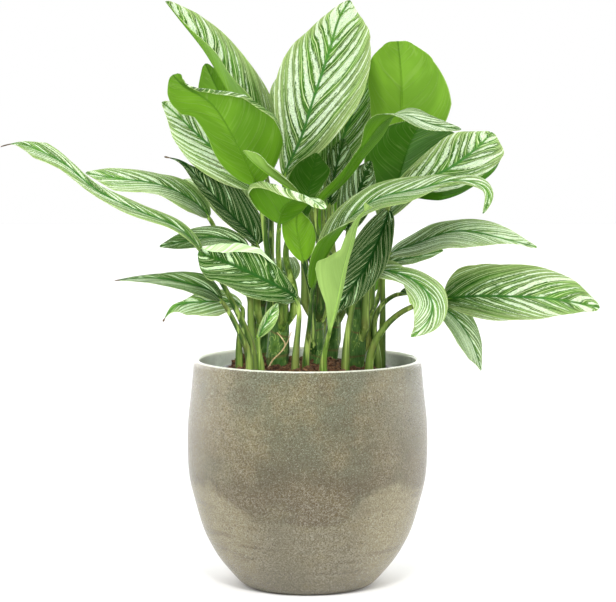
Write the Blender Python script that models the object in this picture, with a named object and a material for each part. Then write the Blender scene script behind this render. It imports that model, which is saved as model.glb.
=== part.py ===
"""A Chinese evergreen in a glazed planter: leaves, canes, soil, nursery pot and planter. Metres, +Z up."""

import math
from collections import namedtuple

import bmesh
import bpy
import numpy as np

CM = 0.01
GAP = 0.03

# Everything below is in centimetres. The planter stands on its flat foot at z = 0, centred on the Z axis.
PLANTER_SIDES = 44
PLANTER_OUTSIDE = [
    (6.1, 0.0), (6.7, 0.35), (7.3, 0.95), (8.7, 2.6), (9.65, 4.1), (10.45, 5.8), (11.15, 8.1), (11.82, 10.9),
    (12.0, 13.8), (11.93, 16.6), (11.65, 19.2), (11.42, 21.6), (11.36, 22.3), (11.2, 22.62), (11.05, 22.7),
]
PLANTER_INSIDE = [
    (10.88, 22.62), (10.8, 22.35), (10.95, 20.6), (11.3, 16.8), (11.3, 13.0), (10.8, 9.4), (9.7, 5.8),
    (8.3, 3.3), (7.0, 1.6), (5.9, 0.9),
]

NURSERY_SIDES = 36
NURSERY_FOOT = (5.5, 0.9 + GAP)
NURSERY_TOP = (8.35, 21.2)
NURSERY_WALL = 0.16
NURSERY_RIM = (8.75, 0.5)

SOIL_EDGE_HEIGHT = 21.2
SOIL_MOUND = 0.95
SOIL_BUMP = 0.22
SOIL_HEAP = (-6.4, 1.6, 2.2, 1.4)
HOLE_SIDES = 12

# A cane: foot x and y, top x and y, foot and top height, radius at foot and top.
Cane = namedtuple("Cane", "x y top_x top_y foot top radius top_radius")
CANES = {
    "left": Cane(-3.0, -1.6, -2.6, -1.4, 19.6, 29.0, 1.3, 0.75),
    "rear_left": Cane(-4.4, 2.6, -4.6, 2.6, 19.6, 30.0, 0.8, 0.55),
    "middle": Cane(0.9, 0.6, 0.8, 0.8, 19.6, 30.0, 0.9, 0.6),
    "right": Cane(4.9, -0.6, 5.2, -0.6, 19.6, 29.0, 0.95, 0.6),
    "rear": Cane(2.4, 5.2, 2.8, 5.4, 19.6, 29.0, 0.8, 0.55),
}
CANE_SIDES = 10
NODE_SPACING = 2.4

# Leaf points are (across, up, behind): where the point shows, in centimetres on the upright plane through
# the planter's axis, to an eye in front of it, and how far behind that plane it lies.
EYE_DISTANCE = 250.0
EYE_HEIGHT = 51.0

BLADE_THICKNESS = 0.085
KEEL = 0.18
STALK_RADIUS = (0.45, 0.28, 0.22)
STALK_STEPS = [-1, -0.8, -0.6, -0.4, -0.2, 0]
BLADE_STEPS = [0.05, 0.14, 0.25, 0.37, 0.49, 0.61, 0.73, 0.84, 0.93, 1.0]
RING_ANGLES = [162, 126, 90, 54, 18, -18, -54, -90, -126, -162]
SHARES = [-1, -0.5, 0, 0.5, 1]

# width is the blade's greatest half width; faces gives the way its upper side looks along the blade; folds
# the lift of its left and right halves in degrees; shape its widest place and fullness; trim what is cut
# from each half's width.
Leaf = namedtuple(
    "Leaf",
    "stalk blade width faces folds shape trim",
    defaults=([(0, 12, 12), (1, 8, 8)], (0.95, 0.6), [(0, 1, 1), (1, 1, 1)]),
)


def beside(cane, angle, height):
    """The foot of a petiole against a cane: angle in degrees from the front, growing to the right."""
    c = CANES[cane]
    points = []
    for z in (height, height + 2.0):
        share = (z - c.foot) / (c.top - c.foot)
        reach = c.radius + (c.top_radius - c.radius) * min(share, 1) + STALK_RADIUS[0] + 0.04
        x = c.x + (c.top_x - c.x) * share + reach * math.sin(math.radians(angle))
        y = c.y + (c.top_y - c.y) * share - reach * math.cos(math.radians(angle))
        nearer = 1 + y / EYE_DISTANCE
        points.append((x / nearer, EYE_HEIGHT - (EYE_HEIGHT - z) / nearer, y))
    return points


def in_soil(across, behind):
    """The foot of a petiole that stands upright in the soil."""
    return [(across, 20.2, behind), (across, 22.5, behind)]


LEAVES = {
    "top_left": Leaf(
        beside("rear_left", 60, 28.0) + [(-3.6, 36.5, 3.0)],
        [(-4.6, 43.0, 3.6), (-6.4, 47.0, 4.2), (-8.2, 49.9, 4.6), (-10.1, 53.1, 4.8), (-12.2, 55.8, 4.6),
         (-14.0, 58.1, 4.2)],
        4.3,
        [(0, 0.8, -0.4, 0.3), (1, 0.7, -0.45, 0.6)],
        [(0, 45, 38), (1, 45, 30)],
        shape=(0.88, 0.6),
        trim=[(0, 1.4, 1), (0.2, 1.4, 1), (0.3, 1.15, 0.96), (0.4, 0.9, 0.9), (0.5, 0.75, 0.85),
              (0.6, 0.7, 0.82), (0.7, 0.5, 0.8), (0.8, 0.3, 0.76), (0.9, 0.2, 0.85), (1, 0.5, 1)],
    ),
    "small_behind_left": Leaf(
        beside("rear_left", 130, 27.5) + [(-4.2, 37.0, 5.6)],
        [(-5.2, 42.5, 7.0), (-7.9, 47.6, 8.2), (-10.1, 52.0, 8.6)],
        3.0,
        [(0, 0.3, 0.8, 0.4), (1, 0.3, 0.8, 0.4)],
        shape=(1.2, 0.5),
        trim=[(0, 1, 1), (0.7, 1, 1), (0.85, 0.5, 1), (1, 0.6, 1)],
    ),
    "plain_left": Leaf(
        beside("left", -55, 27.3) + [(-4.2, 35.0, -2.8)],
        [(-5.1, 40.0, -3.0), (-6.7, 43.4, -4.2), (-8.4, 46.6, -5.6), (-10.1, 48.5, -6.8), (-12.0, 49.6, -7.8),
         (-13.3, 50.9, -8.6)],
        4.8,
        [(0, 0.2, 0.85, 0.4), (1, 0.2, 0.75, 0.55)],
        shape=(1.05, 0.55),
        trim=[(0, 1, 1), (0.2, 1.18, 0.8), (0.4, 0.98, 0.58), (0.5, 0.78, 0.57), (0.6, 0.65, 0.6),
              (0.7, 0.3, 0.85), (0.8, 0.12, 0.87), (0.9, 0.1, 1), (0.95, 0.3, 1), (1, 1, 1)],
    ),
    "striped_left": Leaf(
        beside("rear_left", -30, 27.5) + [(-5.3, 34.5, 1.0)],
        [(-5.6, 39.6, 0.9), (-8.0, 42.4, 0.4), (-10.6, 44.7, -0.6), (-12.8, 46.8, -1.8), (-14.4, 48.2, -2.6)],
        2.7,
        [(0, 0.3, -0.8, 0.5), (1, 0.3, -0.8, 0.5)],
        trim=[(0, 1.2, 1), (0.5, 1.25, 1), (0.8, 1.35, 1), (1, 1, 1)],
    ),
    "top_centre": Leaf(
        beside("middle", -70, 28.3) + [(-0.9, 35.5, 0.6)],
        [(-2.3, 40.6, 1.0), (-1.0, 43.8, 1.8), (0.4, 47.9, 3.1), (1.5, 51.2, 4.2), (2.5, 54.4, 5.0),
         (3.2, 56.6, 5.5), (4.2, 58.2, 5.9)],
        4.5,
        [(0, -0.15, -0.95, 0.3), (1, -0.15, -0.95, 0.3)],
        shape=(1.25, 0.75),
        trim=[(0, 1, 1.1), (0.35, 0.98, 1.14), (0.6, 0.92, 1.07), (0.7, 0.87, 1.09), (0.8, 0.72, 1.12),
              (0.85, 0.68, 1.31), (0.9, 0.65, 1.7), (0.94, 0.7, 2.05), (0.97, 0.8, 1.9), (1, 1, 1.5)],
    ),
    "top_behind": Leaf(
        beside("middle", 150, 28.3) + [(1.6, 35.5, 4.2)],
        [(1.8, 40.0, 6.0), (3.4, 44.4, 7.4), (4.5, 47.4, 8.2), (5.1, 50.2, 8.7), (5.6, 52.4, 9.0)],
        2.8,
        [(0, -0.2, -0.9, 0.3), (1, -0.2, -0.9, 0.3)],
    ),
    "centre_small": Leaf(
        beside("middle", 75, 27.6) + [(2.0, 33.0, 0.9)],
        [(2.2, 38.0, 1.6), (2.8, 41.5, 2.6), (3.6, 44.6, 3.3)],
        1.7,
        [(0, -0.2, -0.9, 0.3), (1, -0.2, -0.9, 0.3)],
        trim=[(0, 0.4, 1), (0.4, 0.45, 1), (0.7, 0.75, 1), (1, 1, 1)],
    ),
    "centre_plain": Leaf(
        beside("middle", 25, 27.8) + [(0.2, 33.0, -0.6)],
        [(-0.3, 36.4, -0.4), (0.2, 39.8, -0.2), (0.9, 43.2, 0.0)],
        2.3,
        [(0, 0.1, 0.9, 0.3), (1, 0.1, 0.9, 0.3)],
        trim=[(0, 0.3, 1), (0.4, 0.35, 1), (0.6, 0.6, 1), (0.8, 1, 1), (1, 1, 1)],
    ),
    "centre_dark": Leaf(
        beside("right", -150, 27.2) + [(4.3, 32.0, 0.8)],
        [(4.0, 35.4, 0.0), (4.7, 38.2, -1.2), (5.5, 40.4, -2.2), (6.3, 42.4, -3.0)],
        1.8,
        [(0, -0.2, -0.9, 0.3), (1, -0.2, -0.9, 0.3)],
    ),
    "plain_right": Leaf(
        beside("rear", 60, 28.3) + [(7.6, 36.5, 4.6)],
        [(8.6, 41.5, 4.4), (9.1, 45.5, 3.8), (9.3, 50.0, 2.6), (8.9, 54.2, 1.0)],
        4.7,
        [(0, 0, 0.95, 0.2), (1, 0, 0.9, 0.4)],
        [(0, 10, 30), (1, 10, 30)],
        shape=(1.15, 0.48),
        trim=[(0, 1, 1), (0.3, 1.04, 0.78), (0.5, 1.09, 0.76), (0.6, 1.02, 0.82), (0.7, 0.94, 0.85),
              (0.8, 0.87, 0.88), (0.9, 0.97, 1.07), (0.95, 1.05, 1.2), (1, 1.3, 1.5)],
    ),
    "arching": Leaf(
        beside("right", -95, 27.8) + [(1.9, 33.5, -2.6)],
        [(1.0, 37.9, -3.6), (3.0, 40.2, -4.2), (4.6, 42.6, -4.8), (6.1, 44.6, -5.2), (7.7, 46.4, -5.8),
         (9.4, 46.9, -6.4), (11.6, 46.2, -7.0), (15.2, 45.5, -7.8)],
        2.5,
        [(0, -0.7, 0.5, 0.5), (0.5, -0.3, 0.4, 0.85), (0.8, 0.1, -0.45, 0.85), (1, 0.1, -0.5, 0.85)],
        shape=(0.95, 0.55),
        trim=[(0, 1, 1), (0.1, 1, 0.6), (0.2, 1, 0.35), (0.3, 1, 0.15), (0.4, 1, 0.15), (0.5, 1, 0.6),
              (0.6, 1, 1), (0.7, 0.95, 1), (0.8, 0.75, 1), (1, 1, 1)],
    ),
    "plain_inner_right": Leaf(
        beside("right", 150, 28.0) + [(6.9, 34.0, 1.2)],
        [(8.2, 38.0, 0.6), (9.3, 41.5, 0.0), (10.2, 44.3, -1.2), (11.4, 46.5, -2.2)],
        4.2,
        [(0, -0.4, 0.7, 0.5), (1, -0.4, 0.7, 0.5)],
        shape=(1.1, 0.5),
        trim=[(0, 1, 1), (0.5, 1.1, 1), (0.65, 1.15, 1), (0.8, 1.8, 1), (0.9, 2.4, 1), (1, 1, 1)],
    ),
    "right_upper": Leaf(
        beside("right", 85, 28.3) + [(7.4, 35.0, -2.2)],
        [(8.8, 39.2, -3.0), (11.2, 40.4, -3.4), (13.4, 41.3, -3.4), (15.2, 42.4, -3.0), (16.8, 43.7, -2.0),
         (18.3, 45.2, -0.2)],
        3.2,
        [(0, -0.2, -0.6, 0.75), (1, 0.1, -0.6, 0.75)],
        shape=(1.1, 0.55),
        trim=[(0, 1, 1.4), (0.3, 1, 1.65), (0.45, 1, 1.5), (0.75, 1, 1.1), (1, 1, 1)],
    ),
    "front_right": Leaf(
        in_soil(-0.2, -3.2) + [(0.2, 26.5, -3.8)],
        [(0.5, 29.7, -4.4), (1.5, 32.4, -5.0), (3.3, 35.3, -5.9), (5.6, 37.8, -7.0), (8.2, 39.0, -8.0),
         (11.2, 39.6, -8.8), (15.0, 40.4, -9.6), (17.8, 39.3, -10.2), (17.4, 37.2, -10.6)],
        2.6,
        [(0, -0.85, -0.1, 0.5), (0.2, -0.8, -0.2, 0.55), (0.4, -0.2, -0.5, 0.85), (0.8, 0, -0.5, 0.85),
         (1, 0.9, -0.4, 0.2)],
        [(0, 60, 45), (0.2, 60, 45), (0.4, 20, 15), (1, 10, 10)],
        trim=[(0, 0.6, 1.2), (0.15, 0.75, 1.3), (0.25, 0.85, 1.2), (0.35, 0.75, 1.1), (0.5, 0.73, 1.2),
              (0.6, 0.75, 1.3), (0.7, 0.6, 0.7), (0.78, 0.3, 0.2), (0.88, 0.8, 0.6), (1, 1, 1)],
    ),
    "right_middle": Leaf(
        in_soil(7.4, 1.2) + [(7.5, 29.0, 1.3)],
        [(8.2, 33.0, 0.8), (10.4, 34.0, -0.4), (13.0, 35.0, -1.8), (15.2, 35.4, -3.0), (18.8, 34.8, -4.4),
         (22.8, 33.8, -5.4)],
        2.1,
        [(0, -0.2, -0.6, 0.75), (1, 0.1, -0.5, 0.8)],
        trim=[(0, 1, 1.3), (0.3, 0.9, 1.5), (0.45, 0.78, 1.8), (0.6, 0.85, 1.7), (0.7, 0.95, 1.2),
              (0.8, 1, 0.6), (0.9, 1, 0.3), (1, 1, 1)],
    ),
    "right_small": Leaf(
        beside("right", 126, 24.6) + [(7.2, 29.5, 2.3)],
        [(7.6, 31.8, 2.8), (9.6, 32.6, 2.4), (13.5, 33.5, 1.6)],
        1.1,
        [(0, -0.2, -0.6, 0.75), (1, 0.1, -0.5, 0.8)],
    ),
    "right_lower": Leaf(
        in_soil(6.2, -2.4) + [(7.5, 25.6, -2.8), (10.0, 27.7, -3.6)],
        [(13.6, 28.6, -4.4), (16.4, 28.9, -5.0), (19.4, 28.9, -5.4), (22.4, 28.8, -5.6), (25.4, 28.5, -5.6),
         (29.1, 27.8, -5.4)],
        3.3,
        [(0, 0.0, -0.8, 0.55), (1, 0.1, -0.8, 0.5)],
        [(0, 14, 24), (1, 6, 10)],
        shape=(0.92, 0.55),
        trim=[(0, 1.6, 1.1), (0.1, 1.5, 1.1), (0.2, 1.2, 1.15), (0.35, 1.02, 1.07), (0.6, 1, 0.87),
              (0.8, 1, 0.67), (0.9, 1, 0.62), (1, 1, 1)],
    ),
    "right_drooping": Leaf(
        in_soil(7.0, -0.4) + [(6.9, 27.2, -0.8)],
        [(9.2, 29.2, -1.6), (12.0, 28.6, -2.0), (14.4, 27.0, -2.0), (16.2, 24.6, -1.6), (17.3, 21.5, -1.0)],
        2.0,
        [(0, 0.1, -0.5, 0.85), (1, 0.8, -0.5, 0.4)],
        [(0, 20, 20), (1, 10, 10)],
        trim=[(0, 1, 0.7), (0.3, 1, 0.75), (0.45, 1, 1.6), (0.6, 1, 2.1), (0.8, 1, 2), (0.9, 1, 1.6),
              (1, 1, 1)],
    ),
    "right_arch": Leaf(
        in_soil(3.8, -3.4) + [(4.6, 28.5, -3.6)],
        [(5.8, 31.2, -4.2), (8.6, 31.3, -5.6), (11.2, 30.0, -6.8), (12.4, 28.0, -7.4), (11.8, 26.2, -7.6),
         (10.3, 24.9, -7.4)],
        2.0,
        [(0, -0.1, -0.7, 0.65), (0.5, 0.5, -0.7, 0.5), (1, 0.6, -0.6, -0.2)],
        trim=[(0, 1, 1), (0.2, 0.8, 0.85), (0.3, 0.5, 0.65), (0.4, 0.65, 0.65), (0.5, 0.8, 1.2),
              (0.6, 1, 1.6), (0.8, 1, 1.7), (0.9, 1, 1.6), (1, 1, 1)],
    ),
    "hanging": Leaf(
        beside("right", 30, 26.0) + [(6.2, 33.0, -2.4), (7.4, 36.8, -3.6)],
        [(8.0, 37.4, -4.8), (7.2, 35.0, -5.5), (6.2, 32.6, -5.8), (4.7, 30.2, -5.9), (2.8, 27.3, -5.6)],
        2.3,
        [(0, 0.1, -0.8, 0.4), (1, 0.2, -0.8, 0.3)],
        [(0, 20, 20), (1, 10, 10)],
        trim=[(0, 0.74, 1), (1, 0.74, 1)],
    ),
    "front_upright": Leaf(
        in_soil(1.6, -5.4),
        [(2.2, 25.4, -5.8), (2.7, 27.3, -6.4), (3.2, 29.6, -7.1), (3.7, 32.1, -8.1), (4.3, 34.3, -9.4),
         (5.1, 36.6, -10.6), (6.2, 37.9, -11.4)],
        3.0,
        [(0, 0.1, 0.9, 0.1), (1, 0.1, 0.9, 0.2)],
        [(0, 60, 12), (1, 60, 20)],
        shape=(1.0, 0.3),
        trim=[(0, 0.2, 0.15), (0.17, 0.2, 0.41), (0.3, 0.2, 0.77), (0.4, 0.2, 0.95), (0.45, 0.2, 0.93),
              (0.5, 0.2, 0.62), (0.55, 0.2, 0.43), (0.6, 0.2, 0.27), (0.7, 0.2, 0.25), (0.8, 0.17, 0.16),
              (0.95, 0.1, 0.1), (1, 1, 1)],
    ),
    "front_centre": Leaf(
        beside("left", 10, 26.8) + [(-2.9, 33.0, -3.6)],
        [(-2.8, 36.1, -4.6), (-2.6, 37.2, -5.8), (-2.0, 38.1, -7.2), (-0.9, 38.6, -8.8), (0.4, 38.5, -10.2),
         (1.7, 37.6, -11.2)],
        3.4,
        [(0, 0.2, 0.8, 0.5), (0.5, 0.2, 0.6, 0.75), (0.8, 0.2, 0, 0.95), (1, 0.4, -0.4, 0.8)],
        [(0, 20, 20), (1, 10, 10)],
        trim=[(0, 0.8, 1.4), (0.2, 0.65, 1.4), (0.3, 0.6, 1.2), (0.4, 0.55, 0.88), (0.5, 0.5, 0.55),
              (0.6, 0.48, 0.38), (0.7, 0.45, 0.25), (0.85, 0.5, 0.3), (1, 1, 1)],
    ),
    "centre_folded": Leaf(
        beside("middle", -20, 24.5) + [(0.4, 29.0, -1.0)],
        [(-0.4, 32.4, -1.6), (-0.9, 34.7, -2.2), (-1.1, 36.4, -2.8), (-0.9, 37.6, -3.6)],
        1.7,
        [(0, 0.2, 0.8, 0.4), (1, 0.2, 0.8, 0.5)],
        [(0, 20, 20), (1, 10, 10)],
    ),
    "rolled": Leaf(
        beside("left", 80, 27.6) + [(-2.15, 33.0, -0.7), (-1.5, 36.0, -1.1)],
        [(-0.9, 38.3, -2.2), (-2.2, 39.9, -3.8), (-3.8, 41.0, -5.3), (-5.2, 42.1, -6.3), (-6.4, 43.4, -6.9)],
        1.2,
        [(0, 0.3, 0.8, 0.5), (1, 0.3, 0.8, 0.5)],
        [(0, 30, 50), (1, 30, 50)],
        trim=[(0, 0.35, 1), (0.3, 0.4, 1), (0.5, 0.5, 1), (0.7, 0.6, 1), (0.9, 1.2, 1.2), (1, 1, 1)],
    ),
    "left_long": Leaf(
        in_soil(-5.4, -3.2) + [(-7.6, 28.6, -4.2)],
        [(-10.5, 33.4, -5.0), (-13.2, 35.9, -5.6), (-15.8, 37.0, -5.9), (-18.8, 38.3, -6.2),
         (-21.4, 39.8, -6.2), (-24.0, 42.0, -6.0), (-26.6, 43.4, -5.7), (-28.8, 44.1, -5.4), (-30.4, 43.8, -5.2)],
        2.1,
        [(0, 0.3, -0.5, 0.8), (0.5, 0.4, -0.4, 0.8), (1, 0.2, -0.6, 0.8)],
        [(0, 20, 10), (0.5, 10, 5), (1, 10, 10)],
        shape=(1.0, 0.5),
        trim=[(0, 1, 1), (0.2, 0.95, 0.7), (0.4, 0.9, 0.57), (0.5, 0.8, 0.55), (0.62, 0.65, 0.4),
              (0.7, 0.7, 0.45), (0.82, 1.2, 0.92), (0.9, 0.8, 0.5), (0.95, 0.1, 0.1), (1, 0.3, 0.3)],
    ),
    "left_upper": Leaf(
        beside("rear_left", -100, 26.0) + [(-8.5, 34.0, 1.0)],
        [(-9.8, 36.8, 0.8), (-12.3, 39.0, 0.2), (-15.6, 40.2, -0.4), (-18.8, 40.6, -1.0),
         (-22.0, 41.2, -1.6)],
        2.6,
        [(0, 0.1, -0.5, 0.85), (1, 0.1, -0.5, 0.85)],
        trim=[(0, 1.3, 1), (0.2, 1.5, 1), (0.3, 1.3, 0.8), (0.45, 1, 0.65), (0.6, 0.95, 0.66),
              (0.7, 1.15, 0.68), (0.8, 1.5, 0.8), (0.9, 1.3, 0.9), (1, 1, 1)],
    ),
    "left_narrow": Leaf(
        beside("left", -120, 27.6) + [(-4.6, 32.0, -0.8)],
        [(-5.0, 34.0, -1.2), (-7.2, 36.6, -1.6), (-9.4, 39.0, -2.2), (-11.4, 41.2, -2.8), (-12.8, 42.4, -3.4),
         (-14.2, 42.8, -3.8)],
        3.1,
        [(0, 0.3, -0.75, 0.6), (1, 0.3, -0.5, 0.8)],
        [(0, 15, 8), (1, 10, 10)],
        shape=(0.85, 0.55),
        trim=[(0, 0.55, 1.05), (0.4, 0.5, 1), (0.6, 0.5, 0.85), (0.7, 0.45, 0.45), (0.8, 0.4, 0.22),
              (0.9, 0.2, 0.15), (0.96, 0.08, 0.08), (1, 0.5, 0.5)],
    ),
    "left_small": Leaf(
        in_soil(-5.4, -1.7) + [(-5.6, 29.5, -1.9)],
        [(-5.9, 33.8, -3.3), (-7.8, 34.6, -3.8), (-9.8, 34.8, -3.5), (-12.2, 34.4, -3.3),
         (-14.7, 33.9, -3.4)],
        1.35,
        [(0, 0.1, -0.7, 0.65), (1, 0.1, -0.6, 0.75)],
    ),
    "left_front": Leaf(
        in_soil(-1.2, -5.0) + [(-0.9, 26.0, -5.2)],
        [(-1.1, 28.5, -5.6), (-3.2, 30.0, -6.6), (-5.8, 31.3, -7.4), (-8.2, 32.3, -8.0), (-10.9, 33.2, -8.4)],
        2.7,
        [(0, -0.2, -0.8, 0.5), (1, -0.1, -0.8, 0.55)],
        trim=[(0, 1, 0.5), (0.1, 0.9, 0.45), (0.2, 0.8, 0.55), (0.4, 0.9, 0.7), (0.5, 0.95, 0.85),
              (0.7, 1.05, 0.85), (0.8, 1.2, 0.75), (0.9, 2, 0.85), (0.96, 2.6, 1), (1, 2, 1)],
    ),
    "left_lower": Leaf(
        in_soil(-5.8, -4.5) + [(-7.2, 26.2, -5.2)],
        [(-8.6, 28.5, -6.0), (-9.8, 29.5, -6.4), (-11.6, 30.1, -6.8), (-14.0, 30.6, -7.2),
         (-16.4, 30.7, -7.4), (-19.2, 30.5, -7.4)],
        1.3,
        [(0, 0.3, -0.6, 0.7), (1, 0.0, -0.3, 0.95)],
        [(0, 20, 20), (1, 10, 10)],
        shape=(0.7, 0.75),
        trim=[(0, 1, 1), (0.1, 1.8, 1.1), (0.2, 2, 1.3), (0.4, 1.55, 1.03), (0.6, 1.7, 0.62),
              (0.8, 1.5, 0.6), (1, 1, 0.8)],
    ),
    "left_lowest": Leaf(
        in_soil(-6.8, -0.6) + [(-6.7, 25.6, -1.4)],
        [(-6.6, 27.9, -2.0), (-8.6, 28.4, -2.9), (-11.0, 28.3, -3.8), (-13.3, 27.8, -4.2),
         (-14.4, 26.4, -4.4)],
        1.8,
        [(0, 0.0, -0.6, 0.75), (1, -0.4, -0.6, 0.6)],
        shape=(0.85, 0.7),
        trim=[(0, 0.9, 1), (0.2, 1.1, 1), (0.4, 1.5, 0.9), (0.5, 1.35, 0.72), (0.6, 1.2, 0.45),
              (0.7, 1.35, 0.25), (0.8, 0.8, 0.3), (0.9, 0.25, 0.25), (0.96, 0.15, 0.15), (1, 1, 1)],
    ),
    "front_small": Leaf(
        in_soil(-4.7, -5.6),
        [(-4.9, 24.8, -5.8), (-4.4, 26.0, -6.0), (-3.7, 27.2, -6.2), (-3.0, 28.3, -6.4)],
        0.9,
        [(0, 0.6, -0.6, 0.2), (1, 0.6, -0.5, 0.4)],
        [(0, 30, 30), (1, 20, 20)],
    ),
    "back_centre": Leaf(
        beside("rear", 185, 27.5) + [(2.4, 36.0, 9.0)],
        [(2.4, 38.5, 11.0), (2.0, 40.5, 14.0), (1.2, 40.2, 17.5), (0.4, 37.5, 21.0), (0.0, 34.0, 23.0)],
        3.4,
        [(0, 0, -0.5, 0.8), (0.5, 0, 0.4, 0.9), (1, 0, 0.8, 0.5)],
    ),
    "back_right": Leaf(
        beside("rear", 110, 27.3) + [(6.2, 34.0, 7.4)],
        [(7.4, 36.5, 9.2), (9.6, 39.4, 11.6), (12.0, 41.0, 14.4), (14.2, 41.2, 17.4), (15.6, 40.0, 20.0)],
        3.0,
        [(0, 0, -0.4, 0.8), (0.5, 0.2, 0.3, 0.9), (1, 0.4, 0.6, 0.7)],
    ),
    "back_left": Leaf(
        beside("rear_left", 180, 25.0) + [(-6.0, 32.0, 6.8)],
        [(-6.8, 35.6, 8.8), (-8.0, 38.6, 11.4), (-9.2, 40.2, 14.4), (-10.4, 40.4, 17.6), (-11.6, 39.4, 20.0)],
        3.0,
        [(0, 0, -0.4, 0.8), (0.5, -0.2, 0.3, 0.9), (1, -0.4, 0.6, 0.7)],
    ),
    "back_right_low": Leaf(
        beside("rear", 160, 24.0) + [(3.6, 28.0, 9.6)],
        [(4.0, 29.8, 11.4), (4.6, 31.4, 14.2), (5.2, 31.8, 17.2), (5.6, 30.6, 20.2), (5.8, 28.6, 22.4)],
        2.8,
        [(0, 0, -0.2, 0.9), (0.5, 0.1, 0.4, 0.9), (1, 0.2, 0.8, 0.4)],
    ),
    "back_left_low": Leaf(
        beside("rear", 225, 24.5) + [(-0.8, 28.5, 8.6)],
        [(-1.6, 30.4, 10.8), (-3.0, 32.0, 13.6), (-4.4, 32.4, 16.8), (-5.4, 31.2, 19.6), (-6.0, 29.4, 21.6)],
        2.8,
        [(0, 0, -0.2, 0.9), (0.5, -0.1, 0.4, 0.9), (1, -0.2, 0.8, 0.4)],
    ),
    "back_top": Leaf(
        beside("rear", 260, 28.0) + [(0.2, 38.0, 7.2)],
        [(-0.4, 42.0, 9.0), (-0.6, 46.0, 11.4), (-0.4, 49.6, 14.4), (0.4, 51.6, 18.0)],
        3.4,
        [(0, 0, -0.8, 0.6), (1, 0, -0.5, 0.9)],
        shape=(1.1, 0.6),
    ),
}


def place(point):
    across, up, behind = point
    farther = 1 + behind / EYE_DISTANCE
    return np.array([across * farther, behind, EYE_HEIGHT + (up - EYE_HEIGHT) * farther])


def smooth_line(points, count=600):
    """A natural cubic spline through the points, with the distance of each point and sample along it."""
    p = np.array([place(q) for q in points])
    steps = np.linalg.norm(np.diff(p, axis=0), axis=1)
    knots = np.concatenate([[0], np.cumsum(steps)])
    n = len(p)
    system, load = np.eye(n), np.zeros((n, 3))
    for i in range(1, n - 1):
        system[i, i - 1 : i + 2] = steps[i - 1], 2 * (steps[i - 1] + steps[i]), steps[i]
        load[i] = 6 * ((p[i + 1] - p[i]) / steps[i] - (p[i] - p[i - 1]) / steps[i - 1])
    bend = np.linalg.solve(system, load)
    at = np.linspace(0, knots[-1], count)
    i = np.clip(np.searchsorted(knots, at, side="right") - 1, 0, n - 2)
    h = steps[i][:, None]
    a = (knots[i + 1] - at)[:, None]
    b = (at - knots[i])[:, None]
    line = (bend[i] * a**3 + bend[i + 1] * b**3) / (6 * h)
    line += (p[i] / h - bend[i] * h / 6) * a + (p[i + 1] / h - bend[i + 1] * h / 6) * b
    return line, knots, at


def keyed(keys, t):
    """Values of keys [(t, value, ...), ...] between their places."""
    places = [key[0] for key in keys]
    return np.stack([np.interp(t, places, column) for column in zip(*[key[1:] for key in keys])], axis=-1)


def unit(v):
    return v / np.linalg.norm(v, axis=-1, keepdims=True)


class Midrib:
    """The line that a leaf follows: t runs from -1 at its foot to 0 at the blade's base and 1 at the tip."""

    def __init__(self, leaf):
        line, knots, at = smooth_line(leaf.stalk + leaf.blade)
        length = np.concatenate([[0], np.cumsum(np.linalg.norm(np.diff(line, axis=0), axis=1))])
        base = np.interp(knots[len(leaf.stalk)], at, length)
        self.t = np.where(length < base, length / base - 1, (length - base) / (length[-1] - base))
        self.line = line
        along = unit(np.gradient(line, length, axis=0))
        faces = keyed(leaf.faces, np.clip(self.t, 0, 1))
        padded = np.pad(faces, ((20, 20), (0, 0)), mode="edge")
        window = np.ones(41) / 41
        faces = np.stack([np.convolve(padded[:, c], window, mode="valid") for c in range(3)], axis=1)
        self.normal = unit(faces - (faces * along).sum(1, keepdims=True) * along)
        self.side = np.cross(along, self.normal)

    def at(self, t):
        def read(values):
            return np.stack([np.interp(t, self.t, values[:, c]) for c in range(3)], axis=-1)

        return read(self.line), unit(read(self.normal)), unit(read(self.side))


def half_width(leaf, t):
    peak, fullness = leaf.shape
    narrowing = np.clip((t - 0.8) / 0.2, 0, 1)
    round_off = 1 - 0.35 * narrowing**2 * (3 - 2 * narrowing)
    return leaf.width * np.abs(np.sin(np.pi * t**peak)) ** fullness * round_off + 0.05


def stalk_ring(midrib, t):
    centre, normal, side = midrib.at(t)
    foot, middle, end = STALK_RADIUS
    radius = np.interp(t, [-1, -0.75, -0.4, 0], [foot, foot * 0.9, middle, end])
    angles = np.radians(RING_ANGLES)[:, None]
    return centre + radius * (side * np.cos(angles) + normal * np.sin(angles))


def blade_ring(leaf, midrib, t):
    """Upper side from left to right, then lower side from right to left, with a keel under the midrib."""
    centre, normal, side = midrib.at(t)
    folds, trims = keyed(leaf.folds, t), keyed(leaf.trim, t)
    upper, lower = [], []
    for share in SHARES:
        hand = 1 if share >= 0 else 0
        sign = 1 if hand else -1
        lift = math.radians(folds[hand])
        out = side * sign * math.cos(lift) + normal * math.sin(lift)
        up = normal * math.cos(lift) - side * sign * math.sin(lift)
        point = centre + out * half_width(leaf, t) * trims[hand] * abs(share)
        upper.append(point + up * BLADE_THICKNESS / 2)
        keel = 0.02 + (KEEL - 0.02) * (1 - t) if share == 0 else 0
        lower.append(point - up * (BLADE_THICKNESS / 2 + keel))
    return np.array(upper + lower[::-1])


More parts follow.
